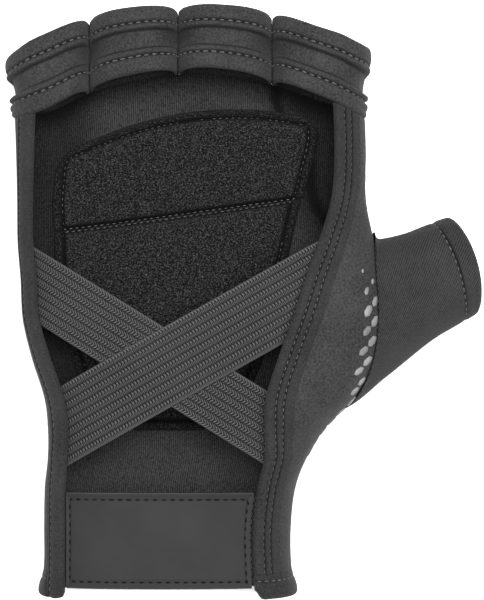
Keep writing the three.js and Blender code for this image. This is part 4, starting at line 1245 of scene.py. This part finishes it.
def highest_under(x, y):
    """How far up the side of the hand the field from under the palm reaches."""
    beside_thumb = abs(y - THUMB["y"][0] * PALM_LENGTH) < PRINT_THUMB_REACH
    if x < 0 or beside_thumb:
        return PRINT_FLAT
    return min(PRINT_SIDE, float(sample(PRINT_EDGE, "along", "height", y)) - PRINT_SIZE / 2)


PRINT_COLUMN = PRINT_PITCH * math.sqrt(0.75)
print_places = []
for row in range(-PRINT_ROWS_UNDER, PRINT_ROWS_UNDER + PRINT_ROWS_OVER):
    is_over = row >= PRINT_ROWS_UNDER
    for step in range(int((PRINT_TO - PRINT_FROM) / PRINT_PITCH)):
        y = PRINT_FROM + (step + (row % 2) / 2) * PRINT_PITCH
        if is_over:
            s = print_edge(y) + PRINT_FIRST + (row - PRINT_ROWS_UNDER) * PRINT_COLUMN * PRINT_STRETCH
            size = float(mix(1, PRINT_SMALLEST, smooth_step(*PRINT_FADE, y)))
            is_kept = PRINT_OVER_FROM < y < PRINT_FADE[1]
        else:
            s = palm_middle(y) + row * PRINT_COLUMN
            x, _, z = skin_at(s, y)
            size = 1
            is_kept = x > PRINT_LITTLE_SIDE and z < highest_under(x, y)
        if is_kept:
            print_places.append((s, y, size, PRINT_STRETCH if is_over else 1))
s, y, size, narrow = np.array(print_places).T
places = skin_at(s, y)
crosswise = skin_at(s + 0.4, y) - skin_at(s - 0.4, y)
lengthwise = skin_at(s, y + 0.4) - skin_at(s, y - 0.4)
outward = np.cross(lengthwise, crosswise)
outward /= np.linalg.norm(outward, axis=-1, keepdims=True)
section = form_section(y)
from_middle = places - np.stack([section.x, y, section.z], -1)
outward *= np.sign((outward * from_middle).sum(-1, keepdims=True))
lengthwise -= PRINT_LEAN * crosswise * (narrow < 1)[:, None]

honeycomb, given, out = geometry_group("honeycomb", {"Size": 0.004, "Thickness": 0.0003})
tablet = add_node(honeycomb, "GeometryNodeMeshCone", {
    "Vertices": 6, "Radius Top": 0.43, "Radius Bottom": 0.5, "Depth": 1.0,
})
tablet_size = add_node(honeycomb, "ShaderNodeCombineXYZ", {
    0: given["Size"], 1: given["Size"], 2: given["Thickness"],
})
sunk = add_node(honeycomb, "ShaderNodeCombineXYZ", {
    2: calculate(honeycomb, "MULTIPLY", given["Thickness"], -PRINT_SUNK),
})
grip = add_node(honeycomb, "GeometryNodeTransform", {
    "Geometry": tablet.outputs[0], "Scale": tablet_size.outputs[0], "Translation": sunk.outputs[0],
})
vectors = [named_vector(honeycomb, name) for name in ("along", "size")]
place_copies(honeycomb, given, out, given["Geometry"], grip.outputs[0], *vectors)

grip_print = fabric("grip_print", 0.07, 0.24, 0.5, 0.0, 0.03, grain_pattern(0.4, 0.35))
source = marked_points("grip_places", places, [], {
    "up": outward, "along": lengthwise, "size": np.stack([size, size * narrow, np.ones_like(size)], -1),
})
grip_pads = grown("grip_hexagons", source, honeycomb, {
    "Size": PRINT_SIZE * MILLIMETRE, "Thickness": PRINT_THICKNESS * MILLIMETRE, "Material": grip_print,
})
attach(grip_pads, "root")

# Crossed straps
# Two stretched bands of ribbed woven elastic over the open back. Each is sewn in behind the bindings, and
# the one from the little finger's knuckle passes below the other.
STRAP_WIDTH = 17.3
STRAP_THICKNESS = 1.3
STRAP_CEILING = 32.2
STRAP_EASE = 6
STRAP_TUCK = 11
STRAP_RIB = 2.1
STRAP_RIB_DEPTH = 0.45
STRAP_ROW = 0.87
STRAP_EDGE_BAND = 0.3
STRAP_EDGE_LIGHT = 1.6
STRAP_ALONG, STRAP_ACROSS = 140, 120
CROSS_STRAPS = {
    "over": SimpleNamespace(start=0.454, slope=0.565, width=1.09, below=0),
    "under": SimpleNamespace(start=0.408, slope=-0.62, width=0.95, below=1),
}
strap_top = (WALL + TAPE_THICKNESS) / 2 + SEAM_GAP
over, below = CROSS_STRAPS["over"], CROSS_STRAPS["under"]
crossing_x = (below.start - over.start) * PALM_LENGTH / (over.slope - below.slope)


def soft_min(a, b, width):
    share = np.clip(0.5 + 0.5 * (b - a) / width, 0, 1)
    return mix(b, a, share) - width * share * (1 - share)


def band_point(across, line, inset, tuck, is_flat):
    """A point of a band across the open back. line gives y from x, and tuck is degrees of the section that
    each end runs on behind its binding."""
    y = line(0 * across)
    run_on = math.radians(tuck)
    for _ in range(6):
        section = form_section(y)
        angle = mix(section.thumb_angle - run_on, section.little_angle + run_on, across)
        x, z = rounded_point(section, angle, inset, SQUARENESS)
        y = line(x)
    if is_flat:
        z = soft_min(z, STRAP_CEILING - inset + WALL, STRAP_EASE)
    return np.stack(np.broadcast_arrays(x, y, z), -1)


def strap_surface(strap, is_top):
    width = strap.width * STRAP_WIDTH
    ribs = round(width / STRAP_RIB)

    def surface(along, across):
        offset = (across - 0.5) * width / math.cos(math.atan(strap.slope))
        line = lambda x: strap.start * PALM_LENGTH + strap.slope * x + offset
        x = band_point(along, line, strap_top, STRAP_TUCK, True)[..., 0]
        near = smooth_step(0, 1, 2 - np.abs(x - crossing_x) / STRAP_WIDTH)
        dip = strap.below * (STRAP_THICKNESS + SEAM_GAP) * near
        valley = 1 - np.abs(np.sin(across * ribs * math.pi)) ** 0.55
        edge = 1 - smooth_step(0, 0.35 / width, np.minimum(across, 1 - across))
        below_top = STRAP_RIB_DEPTH * np.maximum(valley, edge) if is_top else STRAP_THICKNESS
        return band_point(along, line, strap_top + dip + below_top, STRAP_TUCK, True)

    return surface


# Elastic weave: on a map of columns and rows, threads that slant one way in each column and the other way
# in the next, with painted shade towards each column's sides and in a furrow after every second column.
elastic_weave, given, out = shader_group(
    "elastic_weave", {"Vector": None, "Slant": 0.9, "Furrow": 0.2}, ["Thread"]
)
parts = add_node(elastic_weave, "ShaderNodeSeparateXYZ", {0: given["Vector"]})
pair = calculate(elastic_weave, "PINGPONG", parts.outputs["X"], 1.0)
column = calculate(elastic_weave, "PINGPONG", parts.outputs["X"], 0.5)
phase = calculate(elastic_weave, "MULTIPLY_ADD", pair, given["Slant"], parts.outputs["Y"])
thread = spread(elastic_weave, calculate(elastic_weave, "PINGPONG", phase, 0.5), 0.12, 0.36)
# Painted shade: a dark furrow where the ribs dip, and each column lighter in its middle than at its sides.
furrow_shade = spread(elastic_weave, pair, 0.0, given["Furrow"], 0.1)
body = calculate(elastic_weave, "MULTIPLY_ADD", column, 1.1, 0.45)
rounded = calculate(elastic_weave, "MULTIPLY", thread, body)
elastic_weave.links.new(calculate(elastic_weave, "MULTIPLY", rounded, furrow_shade), out["Thread"])


def elastic_pattern(tree, place, cloth_map):
    weave = add_node(tree, "ShaderNodeGroup", node_tree=elastic_weave)
    tree.links.new(cloth_map, weave.inputs["Vector"])
    mask, grain = grained(tree, place, 0.5, 0.8)
    return mixed_masks(tree, weave.outputs["Thread"], mask, 0.85), weave.outputs["Thread"]


ribbed_elastic = fabric("ribbed_elastic", 0.0003, 0.074, 0.9, 0.02, 0.25, elastic_pattern)
for name, strap in CROSS_STRAPS.items():
    sides = strap_surface(strap, True), strap_surface(strap, False)
    top, bottom, along, across = both_sides(*sides, STRAP_ALONG, STRAP_ACROSS)
    columns = 2 * round(strap.width * STRAP_WIDTH / STRAP_RIB)
    strap_map = np.stack([across * columns, girth(top) / STRAP_ROW], -1)
    # The elastic is painted lighter in a thin band along its two edges.
    thread_share = STRAP_EDGE_BAND / strap.width / STRAP_WIDTH
    lighter_edges = -STRAP_EDGE_LIGHT * groove(across, 0, 1, width=thread_share)
    piece = walled(f"elastic_{name}", top, bottom, strap_map, [ribbed_elastic], painted_shade=lighter_edges)
    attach(piece, "root")
    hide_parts(f"cross_strap_{name}")

# Wrist closure
# A ribbed elastic tucked behind both bindings carries a smooth moulded patch. The patch has a thin raised
# rim and is sewn on through a sunk line inside it. Its face is left plain.
CLOSURE_WIDTH = 24.6
CLOSURE_STRAP_THICKNESS = 1.3
CLOSURE_STRAP_MARGIN = 1
PATCH_THICKNESS = 1.6
PATCH_MARGIN = 1
PATCH_LENGTH = 48.6
PATCH_RIM = 0.5
PATCH_RIM_RISE = 0.22
PATCH_EDGE_ROUND = 0.35
PATCH_STITCH_INSET = 1.8
PATCH_STITCH_DEPTH, PATCH_STITCH_WIDTH = 0.2, 0.45
CLOSURE_ALONG, CLOSURE_ACROSS, CLOSURE_BAND_ACROSS = 190, 96, 40
closure_top = (WALL + CUFF_HEM_THICKNESS) / 2 + SEAM_GAP
patch_top = closure_top - SEAM_GAP - PATCH_THICKNESS


def closure_surface(top, thickness, tuck, margin, face=None):
    def surface(along, across):
        y = CLOSURE_START + margin + across * (CLOSURE_WIDTH - 2 * margin)
        lift = 0 if face is None else face(along, across)
        return band_point(along, lambda x: y + 0 * x, top + thickness - lift, tuck, False)

    return surface


def edge_distance(along, across):
    ends, sides = np.minimum(along, 1 - along) * PATCH_LENGTH, np.minimum(across, 1 - across) * CLOSURE_WIDTH
    return np.minimum(ends, sides)


def patch_face(along, across):
    """How far the patch's face stands out: a raised rim, a sunk stitched line and a smooth middle."""
    edge = edge_distance(along, across)
    rim = PATCH_RIM_RISE * smooth_step(0, 0.25, edge) * (1 - smooth_step(0.5, 1.0, edge))
    sunk = PATCH_STITCH_DEPTH * np.exp(-(((edge - PATCH_STITCH_INSET) / PATCH_STITCH_WIDTH) ** 2))
    return rim - sunk - 0.5 * (1 - np.sqrt(np.clip(edge / PATCH_EDGE_ROUND, 0, 1)))


moulded_patch = fabric("moulded_patch", 0.015, 0.0195, 0.75, 0.0, 0.02, grain_pattern(0.25, 0.35))
# The rim's lighter copy of the patch's material is a painted highlight along the raised rim.
patch_rim_highlight = fabric("patch_rim_highlight", 0.03, 0.055, 0.6, 0.0, 0.02, grain_pattern(0.25, 0.35))
sides = [
    closure_surface(closure_top, thickness, STRAP_TUCK, CLOSURE_STRAP_MARGIN)
    for thickness in (0, CLOSURE_STRAP_THICKNESS)
]
top, bottom, along, across = both_sides(*sides, CLOSURE_ALONG, CLOSURE_BAND_ACROSS)
band_map = np.stack([across * 2 * round(CLOSURE_WIDTH / STRAP_RIB), along * PATCH_LENGTH / STRAP_ROW], -1)
band = walled("closure_band", top, bottom, band_map, [ribbed_elastic])
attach(band, "root")
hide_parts("wrist_strap")
patch_surface = closure_surface(patch_top, 0, -PATCH_MARGIN, 0, patch_face)
sides = patch_surface, closure_surface(patch_top, PATCH_THICKNESS, -PATCH_MARGIN, 0)
top, bottom, along, across = both_sides(*sides, CLOSURE_ALONG, CLOSURE_ACROSS)
patch_map = np.stack([across * CLOSURE_WIDTH, along * PATCH_LENGTH], -1)
patch_edge = edge_distance(along, across)
# Painted shade in the sunk stitched line and inside the raised rim.
patch_shade = 0.75 * groove(patch_edge, PATCH_STITCH_INSET, width=0.35)
patch_shade += 0.3 * groove(patch_edge, 0.85, width=0.2)
patch = walled("patch", top, bottom, patch_map, [moulded_patch], painted_shade=patch_shade)
patch.data.materials.append(patch_rim_highlight)
# The faces of the rim take the painted highlight.
for face in patch.data.polygons:
    if max(patch_edge.flat[i] if i < patch_edge.size else 1 for i in face.vertices) < PATCH_RIM:
        face.material_index = 1
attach(patch, "root")
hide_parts("wrist_patch")
near_along, near_across = PATCH_STITCH_INSET / PATCH_LENGTH, PATCH_STITCH_INSET / CLOSURE_WIDTH
far_along, far_across = 1 - near_along, 1 - near_across
rounds = np.linspace(0, 4, 401)
line_along = np.interp(rounds, range(5), [near_along, far_along, far_along, near_along, near_along])
line_across = np.interp(rounds, range(5), [near_across, near_across, far_across, far_across, near_across])
patch_line = surface_row(patch_surface, line_along, line_across, 0.08)
stitches("patch_stitches", [patch_line], 2.25, 1.35, 0.5, dark_thread)

# Floor, light and camera
# A plain pale floor under soft studio light. The camera looks down on the back of the hand, a little from
# the wrist.
FLOOR_SIZE = 8.0
FLOOR_HEIGHT = -0.0002
floor_mesh = bpy.data.meshes.new("floor")
half = FLOOR_SIZE / 2
corners = [(-half, -half), (half, -half), (half, half), (-half, half)]
floor_mesh.from_pydata([(x, y, FLOOR_HEIGHT) for x, y in corners], [], [(0, 1, 2, 3)])
floor = linked("floor", floor_mesh)
paper = bpy.data.materials.new("paper")
paper.use_nodes = True
paper_inputs = paper.node_tree.nodes["Principled BSDF"].inputs
paper_inputs["Base Color"].default_value = (0.93, 0.93, 0.93, 1)
paper_inputs["Roughness"].default_value = 1.0
paper_inputs["Specular IOR Level"].default_value = 0.0
floor_mesh.materials.append(paper)

world = bpy.data.worlds.new("studio")
bpy.context.scene.world = world
world.use_nodes = True
background = world.node_tree.nodes["Background"].inputs
background["Color"].default_value = (1, 1, 1, 1)
background["Strength"].default_value = 0.35


def soft_light(name, place, power, size):
    light = bpy.data.lights.new(name, "AREA")
    light.energy = power
    light.shape = "DISK"
    light.size = size
    made = linked(name, light)
    made.location = place
    made.rotation_euler = (-made.location).to_track_quat("-Z", "Y").to_euler()


soft_light("key", (0.2, 0.06, 0.9), 12.5, 0.5)
soft_light("fill", (-0.1, 0.04, 0.95), 11, 0.5)
bpy.context.scene.view_settings.view_transform = "Standard"

CAMERA_TARGET = np.array([13.78, 78.175, 16.0])
CAMERA_TILT = 3.5  # degrees, towards the wrist
CAMERA_DISTANCE = 550
CAMERA_LENS = 124.5
camera_data = bpy.data.cameras.new("camera")
camera_data.lens = CAMERA_LENS
camera_data.sensor_width = 36
camera_data.dof.use_dof = False
camera = linked("camera", camera_data)
tilt = math.radians(CAMERA_TILT)
back = np.array([0, -math.sin(tilt), math.cos(tilt)])
camera.location = (CAMERA_TARGET + back * CAMERA_DISTANCE + SHIFT) * MILLIMETRE
camera.rotation_euler = (tilt, 0, 0)
bpy.context.scene.camera = camera
